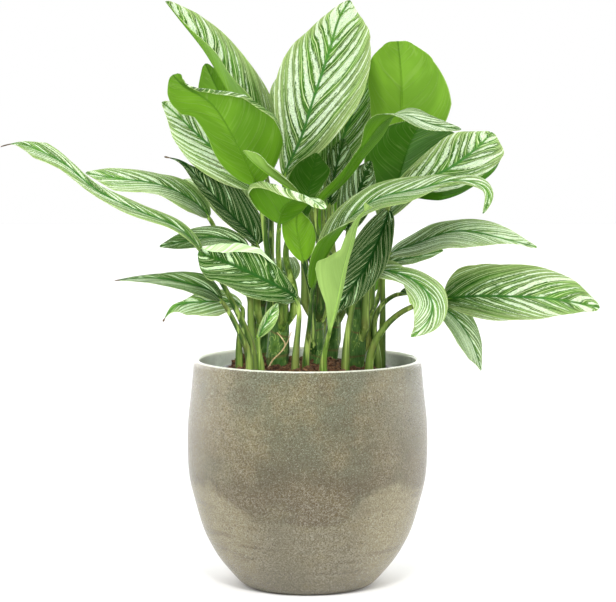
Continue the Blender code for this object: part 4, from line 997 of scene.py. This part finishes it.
def root_skin():
    """Pale straw-coloured skin of a withered root."""
    s = Surface("aerial root", 0.5, 0.3)
    mottle = s.noise(s.place(), 700.0, 3.0)
    body = s.blend(s.step(mottle, 0.35, 0.7), srgb(176, 148, 100), srgb(226, 208, 168))
    return s.finish(body, s.step(mottle, 0.3, 0.7, 0.55, 0.75), s.relief(mottle, 0.0004))


def glaze_outside(settings):
    """Mottled stoneware glaze: grey-green and brown clouds and dark pits, with a painted highlight on each
    side and a painted reflection of the floor below the belly.
    """
    s = Surface("planter glaze", settings.gloss, 0.55)
    place = s.place()
    x, y, z = s.split(place)
    clouds = s.noise(place, 16.0, 4.0, 0.62)
    warm = s.noise(s.vector(x, y, s.times(z, 1.6)), 22.0, 5.0, 0.62, 0.3)
    fine = s.noise(place, 620.0, 4.0, 0.7)
    grains = s.noise(place, 1000.0, 3.0, 0.7)
    throwing = s.noise(s.vector(s.times(x, 0.08), s.times(y, 0.08), z), 130.0, 2.0)

    # The brown glaze ends in a wavy line that dips in front. Below it, a painted reflection of the pale floor
    # makes the lower part lighter.
    dip = s.step(s.math("ABSOLUTE", s.math("ADD", x, 0.008)), 0.03, 0.09, 0.0, 0.03)
    height = s.swayed(s.math("SUBTRACT", z, dip), clouds, 0.06)
    belt = s.times(s.step(height, 0.074, 0.082), s.step(height, 0.09, 0.21, 1.0, 0.0))
    belt = s.times(belt, s.step(warm, 0.32, 0.6, 0.5, 1.0))
    low = s.step(height, 0.07, 0.084, 1.0, 0.0)
    # Painted highlight: the left and right sides are lighter.
    sides = s.step(s.math("ABSOLUTE", x), 0.03, 0.09)

    bent = s.noise(place, 90.0, 1.0)
    rings = s.ridge(s.cells(s.vector(s.math("MULTIPLY_ADD", bent, 0.006, x), y, z), 190.0), 0.46, 0.06)
    crackle = s.math("MAXIMUM", s.ridge(s.noise(place, 260.0, 3.0, 0.6, 0.4), 0.5, 0.04), s.times(rings, 0.5))
    pitted = s.times(s.step(grains, 0.36, 0.52), s.step(s.noise(place, 60.0, 1.0), 0.42, 0.58))
    pit = s.times(s.step(s.cells(place, 300.0), 0.14, 0.28, 1.0, 0.0), pitted)
    body = s.layered(
        s.blend(s.step(clouds, 0.36, 0.62), settings.glaze_grey, settings.glaze),
        (s.times(s.math("MAXIMUM", belt, s.step(warm, 0.5, 0.68, 0.0, 0.7)), 0.75), settings.glaze_brown),
        # Painted reflection of the floor below the belly.
        (s.times(low, 0.85), settings.painted_floor_reflection),
        (s.times(low, s.step(warm, 0.48, 0.7, 0.0, 0.5)), settings.glaze),
        # The painted highlight on the sides, stronger below the belly.
        (s.times(sides, s.math("MULTIPLY_ADD", low, 0.15, 0.07)), settings.painted_side_light),
        (s.times(s.step(throwing, 0.52, 0.7), s.step(z, 0.09, 0.12, 0.4, 0.1)), settings.glaze_brown),
        (s.step(fine, 0.34, 0.54, 0.6, 0.0), settings.glaze_brown),
        (s.times(crackle, s.step(clouds, 0.4, 0.6, 0.06, 0.18)), settings.lip),
        (s.step(grains, 0.52, 0.7, 0.0, 0.22), settings.lip),
        (s.step(grains, 0.34, 0.48, 0.6, 0.0), settings.glaze_brown),
        (s.times(pit, 0.85), srgb(62, 50, 34)),
        (s.times(s.step(s.swayed(z, fine, 0.002), 0.2254, 0.2264), 0.9), settings.lip),
    )
    relief = s.relief(s.math("SUBTRACT", fine, s.times(pit, 0.8)), 0.0009, 0.6)
    relief = s.relief(throwing, 0.0009, 0.3, relief)
    return s.finish(body, s.step(fine, 0.3, 0.7, 0.16, 0.28), relief)


def glaze_inside(settings):
    """Pale celadon glaze, worn at the lip."""
    s = Surface("planter inside glaze", 0.3, 0.5)
    place = s.place()
    clouds = s.noise(place, 26.0, 3.0)
    specks = s.noise(place, 700.0)
    body = s.layered(
        s.blend(s.step(clouds, 0.3, 0.7, 0.0, 0.35), settings.inside, settings.glaze_grey),
        (s.step(specks, 0.3, 0.45, 0.25, 0.0), settings.glaze_grey),
        (s.step(s.split(place)[2], 0.222, 0.226), settings.lip),
    )
    return s.finish(body, s.step(clouds, 0.3, 0.7, 0.25, 0.4), s.relief(specks, 0.0002, 0.3))


def moulded_plastic(settings):
    """Black plastic, scuffed grey in places."""
    s = Surface("nursery pot plastic", 0.45, 0.45)
    place = s.place()
    scuffs = s.noise(place, 160.0, 4.0, 0.7)
    body = s.blend(s.step(scuffs, 0.5, 0.75, 0.0, 0.5), settings.plastic, srgb(88, 84, 76))
    return s.finish(body, s.step(scuffs, 0.3, 0.7, 0.38, 0.6), s.relief(s.noise(place, 900.0), 0.0002, 0.4))


def potting_soil(settings):
    """Brown soil with painted shade in its dark hollows, and pale fibres that are partly painted highlights.
    """
    s = Surface("potting soil", 0.9, 0.25)
    place = s.place()
    lumps = s.noise(place, 220.0, 4.0, 0.7)
    fibres = s.noise(place, 900.0, 3.0, 0.7)
    tint = s.noise(place, 90.0)
    body = s.layered(
        # Painted shade: dark hollows between the lumps.
        s.blend(s.step(lumps, 0.4, 0.68, 0.92, 0.0), settings.soil, srgb(34, 22, 17)),
        # Pale fibres, partly painted highlights.
        (s.step(fibres, 0.52, 0.72, 0.0, 0.55), srgb(146, 104, 78)),
        (s.step(tint, 0.5, 0.7, 0.0, 0.4), srgb(104, 70, 48)),
    )
    return s.finish(body, s.step(lumps, 0.3, 0.7, 0.78, 0.96), s.relief(fibres, 0.001, 0.9))


def whole_piece(name, bm, materials, slot_name, *nodes, sharp=40):
    """Turns a mesh in centimetres into a smooth shaded piece that stands for these solids."""
    bmesh.ops.scale(bm, vec=(CM, CM, CM), verts=bm.verts)
    mesh = bpy.data.meshes.new(name)
    bm.to_mesh(mesh)
    bm.free()
    for material in materials:
        mesh.materials.append(material)
    mesh.shade_smooth()
    mesh.set_sharp_from_angle(angle=math.radians(sharp))
    piece = bpy.data.objects.new(name, mesh)
    bpy.context.scene.collection.objects.link(piece)
    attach(piece, "root")
    if nodes:
        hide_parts(*nodes)


def layers(bm, *names):
    """Number layers of the vertices, by name."""
    return {name: bm.verts.layers.float.get(name) or bm.verts.layers.float.new(name) for name in names}


def tube(bm, centres, sides_of, material=0, values=None):
    """A tube through the centres. sides_of(index, angles) gives each ring's offsets from its centre, and
    values[name][index] what the ring's vertices carry."""
    turn = layers(bm, "turn")["turn"]
    keep = layers(bm, *(values or {}))
    verts = bmesh.ops.create_circle(bm, segments=TUBE_SIDES, radius=1)["verts"]
    for i, vert in enumerate(verts):
        vert[turn] = math.tau * i / TUBE_SIDES
    edges = list(dict.fromkeys(edge for vert in verts for edge in vert.link_edges))
    bmesh.ops.edgeloop_fill(bm, edges=edges, mat_nr=material)
    for index, centre in enumerate(centres):
        if index:
            before = edges
            made = bmesh.ops.extrude_edge_only(bm, edges=edges)["geom"]
            verts = [item for item in made if isinstance(item, bmesh.types.BMVert)]
            edges = [item for item in made if isinstance(item, bmesh.types.BMEdge)]
            for edge in before:
                for face in edge.link_faces:
                    face.material_index = material
        offsets = sides_of(index, np.array([vert[turn] for vert in verts]))
        for vert, offset in zip(verts, offsets):
            vert.co = centre + offset
            for name, layer in keep.items():
                vert[layer] = values[name][index]
    bmesh.ops.edgeloop_fill(bm, edges=edges, mat_nr=material)


def round_sides(centres, radii):
    """Offsets of circles square to a path, turned as little as possible from ring to ring."""
    centres = np.asarray(centres, float)
    along = unit(np.gradient(centres, axis=0))
    side = np.cross(along[0], (0.3, 0.8, 0.5))
    frames = []
    for direction in along:
        side = unit(side - side.dot(direction) * direction)
        frames.append((side, np.cross(direction, side)))

    def offsets(index, angles):
        side, other = frames[index]
        return radii[index] * (np.cos(angles)[:, None] * side + np.sin(angles)[:, None] * other)

    return offsets


def margins(leaf, across, along):
    """Distance from the midrib to the margin, on the side that each point is on."""
    trims = keyed(leaf.trim, along)
    return half_width(leaf, along) * np.where(across >= 0, trims[:, 1], trims[:, 0])


def blade_points(name, leaf, midrib, across, along, look, seed, arch):
    """Points of the blade's middle surface: across from -1 to 1 and along from 0 to 1."""
    centre, normal, side = midrib.at(along)
    right, share = across >= 0, np.abs(across)
    sign = np.where(right, 1, -1)[:, None]
    folds = keyed(leaf.folds, along)
    lift = np.radians(np.where(right, folds[:, 1], folds[:, 0]))[:, None]
    out = side * sign * np.cos(lift) + normal * np.sin(lift)
    up = normal * np.cos(lift) - side * sign * np.sin(lift)
    width = half_width(leaf, along)
    margin = margins(leaf, across, along)
    reach = margin * share
    rise = arch * width * 4 * share * (1 - share)
    ripple = np.sin(2 * math.pi * (along * (2.2 + seed) + seed * 3 + np.where(right, 0.37, 0)))
    ripple = ripple * look.wave * 0.05 * width * share**2.5 * np.sin(math.pi * along)

    # What a margin that curls over has to spare turns round a small radius, and then runs on straight.
    curl = CURLED_MARGINS.get(name)
    if curl:
        spare = curl.width * np.sin(math.pi * along**curl.outward) ** (0.6 if curl.outward >= 1 else 1.4)
        whole = share * (margin + spare)
        beyond = np.clip(whole - margin, 0, None)
        angle = np.minimum(beyond / CURL_RADIUS, math.radians(abs(curl.degrees)))
        straight = beyond - angle * CURL_RADIUS
        half = right == curl.right
        over = half & (beyond > 0)
        reach = np.where(half, np.minimum(whole, margin), reach)
        reach = np.where(over, reach + CURL_RADIUS * np.sin(angle) + straight * np.cos(angle), reach)
        turned_up = CURL_RADIUS * (1 - np.cos(angle)) + straight * np.sin(angle)
        rise = np.where(over, rise + math.copysign(1, curl.degrees) * turned_up, rise)
    return centre + out * reach[:, None] + up * (rise + ripple)[:, None]


def under_paleness(name, across, rest):
    """How pale the under side is, below 0 for painted shade, at each point: a curled margin has its own
    value.
    """
    curl = CURLED_MARGINS.get(name)
    if not curl:
        return np.full(len(across), rest)
    return np.where(((across >= 0) == curl.right) & (np.abs(across) > 0.5), curl.pale or rest, rest)


def leaf_values(count, look, seed, **own):
    """What the points of a leaf carry, by name: their own values, or else the same for all."""
    # A negative pale carries the leaf's painted shade of the under side.
    same = {"tone": look.tone, "silver": look.silver, "seed": seed, "pale": -look.shade}
    return {name: own.get(name, np.full(count, same.get(name, 0.0))) for name in LEAF_VALUES}


def add_blade(bm, name, leaf, midrib, look, seed, settings):
    """A grid laid along the midrib, its under side extruded from the upper one."""
    keep = layers(bm, *LEAF_VALUES)
    number = bm.verts.layers.int["number"]
    upper = bmesh.ops.create_grid(bm, x_segments=BLADE_ACROSS, y_segments=BLADE_ALONG, size=0.5)["verts"]
    flat = np.array([vert.co for vert in upper])
    # Rows and columns are a little closer where the blade bends most: along its midrib and at its ends.
    across = np.round(flat[:, 0] * 2, 6)
    across = np.sign(across) * (0.75 * np.abs(across) + 0.25 * across**2)
    even = np.round(flat[:, 1] + 0.5, 6)
    along = 0.65 * even + 0.35 * (0.5 - 0.5 * np.cos(math.pi * even))
    share, sign = np.abs(across), np.where(across >= 0, 1, -1)

    def surface(across, along):
        return blade_points(name, leaf, midrib, across, along, look, seed, settings.arch)

    # The blade thickens square to its surface, and along its midrib square to that.
    points = surface(across, along)
    step, tiny = 0.004, 1e-9
    onward = surface(across, np.clip(along + step, 0, 1)) - surface(across, np.clip(along - step, 0, 1))
    outer, inner = (surface(np.clip(share + way, 0, 1) * sign, along) for way in (step, -step))
    up = np.cross((outer - inner) * sign[:, None], onward)
    size = np.linalg.norm(up, axis=1, keepdims=True)
    normal = midrib.at(along)[1]
    up = np.where(size > tiny, up / np.maximum(size, tiny), normal)
    middle = share < 1e-6
    up[middle] = normal[middle]
    half = settings.thickness / CM * (1 - 0.45 * share)[:, None] / 2
    top, bottom = points + up * half, points - up * half

    # Veins leave the midrib at a slant, sharper on slender blades, and run on along the margin.
    length = np.linalg.norm(np.diff(midrib.line, axis=0), axis=1)[midrib.t[1:] > 0].sum()
    spacing = (1.05 + 0.18 * leaf.width) * (0.7 + 0.33 * look.tone)
    slant = min(1.6 * (length / leaf.width / 4.6) ** 2, 3.0)
    margin = margins(leaf, across, along)
    rib = margin * share
    outward = slant * rib * (1 + 0.4 * rib / leaf.width) + 0.5 * margin * share**6
    vein = (length * along**0.85 - outward) / spacing + seed * 40
    values = leaf_values(
        len(upper), look, seed, across=across, along=along, vein=vein, rib=rib,
        dry=np.full(len(upper), look.dry), pale=under_paleness(name, across, -look.shade),
    )

    for i, vert in enumerate(upper):
        vert.co = top[i]
        vert[number] = i
        for key, layer in keep.items():
            vert[layer] = values[key][i]
    faces = list(dict.fromkeys(face for vert in upper for face in vert.link_faces))
    for face in faces:
        face.material_index = 0
    for item in bmesh.ops.extrude_face_region(bm, geom=faces)["geom"]:
        if isinstance(item, bmesh.types.BMVert):
            item.co = bottom[item[number]]
        elif isinstance(item, bmesh.types.BMFace):
            item.material_index = 1


def add_stalk(bm, midrib, look, seed):
    """The petiole, channelled above, which runs on under the blade as its midrib."""
    t = np.concatenate([np.linspace(-1, 0, 34), np.linspace(0.02, 0.985, 46)])
    centre, normal, side = midrib.at(t)
    foot, middle, end = STALK_RADIUS
    stalk = np.interp(t, [-1, -0.75, -0.4, 0], [foot, foot * 0.9, middle, end])
    ridge = 0.02 + 0.09 * np.clip(1 - t, 0, 1) ** 2 + 0.1 * np.clip(1 - t / 0.08, 0, 1)
    radius = np.where(t < 0, stalk, np.minimum(ridge, end))
    sink = np.interp(t, [-0.03, 0.04], [0, 1]) * (radius * 0.6)
    centres = centre - normal * sink[:, None]
    depth = np.interp(t, [-1, -0.95, -0.1, 0.03], [0, GROOVE_DEPTH, GROOVE_DEPTH, 0.1])

    # A petiole that starts on a cane clasps it with a sheath, which tapers away below.
    start = centres[0]
    if start[2] > SHEATH_START:
        axis, distance = nearest_cane(start)
        drop = (axis - start) / distance * (distance - SHEATH_END) + np.array([0, 0, -SHEATH_LENGTH])
        below, taper = np.array([1.0, 0.75, 0.5, 0.25]), np.array([0.5, 0.75, 0.9, 1.0])
        centres = np.vstack([start + below[:, None] * drop, centres])
        radius = np.concatenate([radius[0] * taper, radius])
        normal, side = (np.pad(v, ((len(below), 0), (0, 0)), mode="edge") for v in (normal, side))
        t, depth = (np.pad(v, (len(below), 0), mode="edge") for v in (t, depth))

    def sides_of(index, angles):
        dip = np.clip(np.sin(angles), 0, 1) ** 6 * depth[index] * radius[index]
        wide = radius[index] * np.cos(angles)[:, None] * side[index]
        return wide + (radius[index] * np.sin(angles) - dip)[:, None] * normal[index]

    tube(bm, centres, sides_of, 2, leaf_values(len(t), look, seed, along=t))
    turn, groove = bm.verts.layers.float["turn"], bm.verts.layers.float["groove"]
    for vert in bm.verts:
        vert[groove] = max(math.sin(vert[turn]), 0) ** 4


def add_leaf(name, leaf, look, seed, settings, materials):
    """One leaf, petiole and blade, in the place of its solid."""
    # Every layer is made before the first point is.
    bm = bmesh.new()
    layers(bm, "turn", *LEAF_VALUES)
    bm.verts.layers.int.new("number")
    midrib = Midrib(leaf)
    add_stalk(bm, midrib, look, seed)
    add_blade(bm, name, leaf, midrib, look, seed, settings)
    bmesh.ops.recalc_face_normals(bm, faces=bm.faces)
    whole_piece("foliage_" + name, bm, materials, "leaf", "leaf_" + name, sharp=60)


def cane_axis(cane, height):
    """x and y of a cane's axis at a height: upright in the soil, and leaning above it."""
    lean = np.clip((height - CANE_LEAN_START) / (cane.top - CANE_LEAN_START), 0, 1)
    return cane.x + (cane.top_x - cane.x) * lean, cane.y + (cane.top_y - cane.y) * lean


def nearest_cane(point):
    """The axis point at this height of the nearest cane, and its distance."""
    axes = [cane_axis(cane, point[2]) for cane in CANES.values()]
    distance, axis = min((math.hypot(point[0] - x, point[1] - y), (x, y)) for x, y in axes)
    return np.array([*axis, point[2]]), distance


def add_cane(name, cane, material):
    """A cane, swollen above the soil, with a slanting ring at each node."""
    heights = np.concatenate([np.linspace(cane.foot, cane.top - 0.3, 90), [cane.top - 0.1, cane.top]])
    share = (heights - cane.foot) / (cane.top - cane.foot)
    centres = np.stack([*cane_axis(cane, heights), heights], axis=1)
    phase = (heights - CANE_NODE_START) % CANE_NODE_SPACING
    ring = np.exp(-(((phase - 0.12) / 0.07) ** 2)) * (heights > 22.0)
    radii = (cane.radius + (cane.top_radius - cane.radius) * share) * (1 - 0.07 * ring)
    radii *= np.interp(heights, [cane.foot, 21.4, 23.2, 25.5, cane.top], [0.72, 0.76, 1.1, 1.08, 1.0])
    radii[-2:] *= (0.8, 0.3)
    sides = round_sides(centres, radii)
    slant = 0.35 * np.sin(heights * 1.4 + cane.x)

    def slanting_sides(index, angles):
        offsets = sides(index, angles)
        offsets[:, 2] += slant[index] * radii[index] * np.cos(angles)
        return offsets

    bm = bmesh.new()
    tube(bm, centres, slanting_sides, values={"scar": ring})
    bmesh.ops.recalc_face_normals(bm, faces=bm.faces)
    whole_piece("cane_" + name, bm, [material], "stem", "stem_" + name, sharp=60)


def turned(profile, sides):
    """A closed body turned about Z from a profile of (radius, height) that starts and ends on the axis."""
    bm = bmesh.new()
    points = [bm.verts.new((radius, 0, z)) for radius, z in profile]
    edges = [bm.edges.new(pair) for pair in zip(points, points[1:])]
    bmesh.ops.spin(
        bm, geom=points + edges, cent=(0, 0, 0), axis=(0, 0, 1), angle=math.tau, steps=sides, use_merge=True
    )
    bmesh.ops.remove_doubles(bm, verts=bm.verts, dist=1e-5)
    bmesh.ops.recalc_face_normals(bm, faces=bm.faces)
    return bm


def rounded(points, count):
    """A smooth curve through the points, with count steps from each to the next."""
    points = np.array(points, float)
    ends = np.vstack([2 * points[0] - points[1], points, 2 * points[-1] - points[-2]])
    made = [points[0]]
    for a, b, c, d in zip(ends, ends[1:], ends[2:], ends[3:]):
        for t in np.linspace(0, 1, count + 1)[1:]:
            curved = (2 * a - 5 * b + 4 * c - d) * t**2 + (3 * b - a - 3 * c + d) * t**3
            made.append(0.5 * (2 * b + (c - a) * t + curved))
    return [tuple(point) for point in made]


def soil_height(x, y):
    """The soil is mounded like the solid under it, with finer lumps."""
    slope = max(1 - (x * x + y * y) / SOIL_RADIUS**2, 0)
    lumps = math.sin(1.7 * x + 0.6) * math.cos(1.9 * y) + 0.7 * math.sin(2.6 * y - 1.3 * x + 1.0)
    heap_x, heap_y, reach, rise = SOIL_HEAP
    heap = rise * math.exp(-((x - heap_x) ** 2 + (y - heap_y) ** 2) / reach**2)
    grain = noise.fractal(Vector((x * 1.1, y * 1.1, 0.4)), 0.8, 2.2, 5) * SOIL_GRAIN
    return SOIL_EDGE_HEIGHT + SOIL_MOUND * slope + (SOIL_BUMP * lumps + heap + grain) * min(slope * 4, 1)


class EVERGREEN_OT_leaves(Operator):
    """Grows every leaf, petiole and blade, in the place of its solid"""

    bl_idname = "evergreen.leaves"
    bl_label = "Leaves"

    def execute(self, context):
        settings = context.scene.evergreen.foliage
        materials = [upper_side(settings), under_side(settings), petiole_skin(settings)]
        draw = random.Random(4)
        for name, leaf in LEAVES.items():
            add_leaf(name, leaf, LOOKS.get(name, FAR_LOOK), draw.random(), settings, materials)
        return {"FINISHED"}


class EVERGREEN_OT_canes(Operator):
    """Makes the canes with their ringed nodes"""

    bl_idname = "evergreen.canes"
    bl_label = "Canes"

    def execute(self, context):
        material = cane_skin(context.scene.evergreen.foliage)
        for name, cane in CANES.items():
            add_cane(name, cane, material)
        return {"FINISHED"}


class EVERGREEN_OT_roots(Operator):
    """Makes the thin aerial roots between the left cane and the soil"""

    bl_idname = "evergreen.roots"
    bl_label = "Aerial roots"

    def execute(self, context):
        bm = bmesh.new()
        for course in ROOT_COURSES:
            path = rounded(course, 8)
            tube(bm, path, round_sides(path, np.linspace(*ROOT_RADIUS, len(path))))
        bmesh.ops.recalc_face_normals(bm, faces=bm.faces)
        whole_piece("aerial_roots", bm, [root_skin()], "stem")
        return {"FINISHED"}


class EVERGREEN_OT_soil(Operator):
    """Heaps the potting soil and strews its crumbs"""

    bl_idname = "evergreen.soil"
    bl_label = "Soil"

    def execute(self, context):
        settings = context.scene.evergreen.pot
        rings = [(radius, SOIL_EDGE_HEIGHT) for radius in np.linspace(SOIL_RADIUS, 0.15, 44)]
        side = [(0, SOIL_FOOT[1]), SOIL_FOOT, (SOIL_RADIUS, SOIL_EDGE_HEIGHT - 0.2)]
        bm = turned(side + rings + [(0, SOIL_EDGE_HEIGHT)], SOIL_SIDES)
        for vert in bm.verts:
            if vert.co.z > SOIL_EDGE_HEIGHT - 0.01:
                vert.co.z = soil_height(vert.co.x, vert.co.y)
        draw = random.Random(11)
        noise.seed_set(11)
        for _ in range(settings.crumbs):
            distance, angle = SOIL_RADIUS * 0.97 * math.sqrt(draw.random()), draw.random() * math.tau
            x, y = distance * math.cos(angle), distance * math.sin(angle)
            size = settings.crumb_size / CM * (0.3 + 0.7 * draw.random() ** 2)
            stretch = Matrix.Diagonal((1, 0.55 + 0.4 * draw.random(), 0.6 + 0.3 * draw.random(), 1))
            spin = Matrix.Rotation(draw.random() * math.tau, 4, Vector((draw.random(), draw.random(), 1)))
            spot = Matrix.Translation((x, y, soil_height(x, y) + size * 0.35))
            made = bmesh.ops.create_icosphere(bm, subdivisions=1, radius=size, matrix=spot @ spin @ stretch)
            for vert in made["verts"]:
                vert.co += noise.noise_vector(vert.co * 5) * size * 0.5
        whole_piece("soil_heap", bm, [potting_soil(settings)], "soil", "soil", sharp=35)
        return {"FINISHED"}


class EVERGREEN_OT_nursery_pot(Operator):
    """Turns the black plastic nursery pot"""

    bl_idname = "evergreen.nursery_pot"
    bl_label = "Nursery pot"

    def execute(self, context):
        bm = turned(NURSERY_PROFILE, NURSERY_SIDES)
        materials = [moulded_plastic(context.scene.evergreen.pot)]
        whole_piece("plastic_pot", bm, materials, "nursery_pot", "nursery_pot")
        return {"FINISHED"}


class EVERGREEN_OT_planter(Operator):
    """Turns the glazed planter"""

    bl_idname = "evergreen.planter"
    bl_label = "Planter"

    def execute(self, context):
        settings = context.scene.evergreen.pot
        wall = rounded(PLANTER_OUTSIDE + PLANTER_INSIDE, 4)
        bm = turned([(0, 0), *wall, (0, PLANTER_INSIDE[-1][1])], PLANTER_SIDES)
        for face in bm.faces:
            middle = face.calc_center_median()
            inward = face.normal.dot(Vector((middle.x, middle.y, 0))) < -PLANTER_INWARD
            bottom = face.normal.z > 0.5 and middle.z < PLANTER_FLOOR_ZONE
            face.material_index = 1 if inward or bottom else 0
        materials = [glaze_outside(settings), glaze_inside(settings)]
        whole_piece("glazed_planter", bm, materials, "planter", "planter", sharp=60)
        return {"FINISHED"}


def add_floor(scene):
    """A wide pale floor under the planter."""
    bm = bmesh.new()
    bmesh.ops.create_grid(bm, x_segments=1, y_segments=1, size=6)
    mesh = bpy.data.meshes.new("floor")
    bm.to_mesh(mesh)
    bm.free()
    s = Surface("floor", 0.8, 0.2)
    s.put(s.shader["Base Color"], FLOOR_COLOUR)
    mesh.materials.append(s.material)
    floor = bpy.data.objects.new("floor", mesh)
    floor.location.z = FLOOR_HEIGHT
    scene.collection.objects.link(floor)


def add_world(scene, settings):
    """A room that is white to the camera and brighter behind, with light from above and a glint for gloss."""
    scene.world = bpy.data.worlds.new("studio")
    scene.world.use_nodes = True
    n = Nodes(scene.world.node_tree)
    _, y, z = n.split(n.node("ShaderNodeTexCoord").outputs["Generated"])
    rays = n.node("ShaderNodeLightPath").outputs
    camera, glossy = rays["Is Camera Ray"], rays["Is Glossy Ray"]
    room = n.step(y, -0.6, 0.2, settings.room, 1.1)
    overhead = n.step(z, 0.45, 0.8, 0.0, settings.overhead)
    glint = n.times(n.step(y, -0.5, 0.3, 0.0, 2.3), glossy)
    light = n.math("ADD", n.math("MAXIMUM", room, overhead), glint)
    strength = n.math("ADD", n.times(light, n.math("SUBTRACT", 1.0, camera)), camera)
    sky = n.tree.nodes["Background"].inputs
    n.put(sky["Strength"], strength)
    n.put(sky["Color"], (1, 1, 1))


def add_lamp(scene, name, kind, power, spot, target, **values):
    """A lamp in metres that looks at its target and leaves no bright spot on the glaze."""
    light = bpy.data.lights.new(name, kind)
    light.energy = power
    for key, value in values.items():
        setattr(light, key, value)
    lamp = bpy.data.objects.new(name, light)
    lamp.location = spot
    lamp.rotation_euler = (Vector(target) - Vector(spot)).to_track_quat("-Z", "Y").to_euler()
    lamp.visible_glossy = False
    scene.collection.objects.link(lamp)


class EVERGREEN_OT_stage(Operator):
    """Sets the floor, the lights and the camera"""

    bl_idname = "evergreen.stage"
    bl_label = "Stage"

    def execute(self, context):
        scene = context.scene
        settings = scene.evergreen.stage
        scene.view_settings.view_transform = "Standard"
        add_floor(scene)
        add_world(scene, settings)
        lamps = (("key", settings.key, (-1.6, -2.1, 1.5)), ("fill", settings.fill, (2.1, -1.5, 0.8)))
        for name, power, spot in lamps:
            add_lamp(scene, name, "AREA", power, spot, (0, 0, 0.3), size=1.2)

        # Narrow beams, with their width in degrees, reach in under the leaves to the stalks and the soil,
        # inside the rim, and in front of the foot.
        beams = (
            ("stalk beam", settings.beam, (0.35, -2.4, 0.62), (0, 0, 0.3), 7),
            ("rim beam", settings.rim, (-0.12, -2.4, 0.64), (-0.1, 0.05, 0.25), 2.8),
            ("foot beam", settings.foot, (0, -1.2, 1.0), (0, -0.16, 0), 11),
        )
        for name, power, spot, target, degrees in beams:
            add_lamp(
                scene, name, "SPOT", power, spot, target, spot_size=math.radians(degrees), spot_blend=0.9,
                shadow_soft_size=0.15,
            )

        camera = bpy.data.cameras.new("camera")
        camera.lens = settings.lens
        camera.sensor_width = CAMERA_SENSOR
        camera.shift_x = CAMERA_SHIFT
        eye = bpy.data.objects.new("camera", camera)
        eye.location = (0, -settings.distance, settings.height)
        eye.rotation_euler = (math.radians(90 - CAMERA_PITCH), 0, 0)
        scene.collection.objects.link(eye)
        scene.camera = eye
        return {"FINISHED"}


class EVERGREEN_PT_panel(Panel):
    """Lists the pieces of the potted evergreen"""

    bl_idname = "EVERGREEN_PT_panel"
    bl_label = "Potted Evergreen"
    bl_space_type = "VIEW_3D"
    bl_region_type = "UI"
    bl_category = "Evergreen"

    def draw(self, context):
        settings = context.scene.evergreen
        for group in (settings.foliage, settings.pot, settings.stage):
            box = self.layout.box()
            for name in group.__annotations__:
                box.prop(group, name)
        for operator in OPERATORS:
            self.layout.operator(operator.bl_idname)


OPERATORS = (
    EVERGREEN_OT_stage,
    EVERGREEN_OT_planter,
    EVERGREEN_OT_nursery_pot,
    EVERGREEN_OT_soil,
    EVERGREEN_OT_canes,
    EVERGREEN_OT_roots,
    EVERGREEN_OT_leaves,
)
CLASSES = (FoliageSettings, PotSettings, StageSettings, EvergreenSettings, *OPERATORS, EVERGREEN_PT_panel)


def register():
    """Adds the settings, the operators and the panel."""
    for cls in CLASSES:
        bpy.utils.register_class(cls)
    bpy.types.Scene.evergreen = PointerProperty(type=EvergreenSettings)


def unregister():
    """Takes them out again."""
    del bpy.types.Scene.evergreen
    for cls in reversed(CLASSES):
        bpy.utils.unregister_class(cls)


def main():
    """Makes every piece in order."""
    register()
    bpy.ops.evergreen.stage()
    bpy.ops.evergreen.planter()
    bpy.ops.evergreen.nursery_pot()
    bpy.ops.evergreen.soil()
    bpy.ops.evergreen.canes()
    bpy.ops.evergreen.roots()
    bpy.ops.evergreen.leaves()


if __name__ == "__main__":
    main()
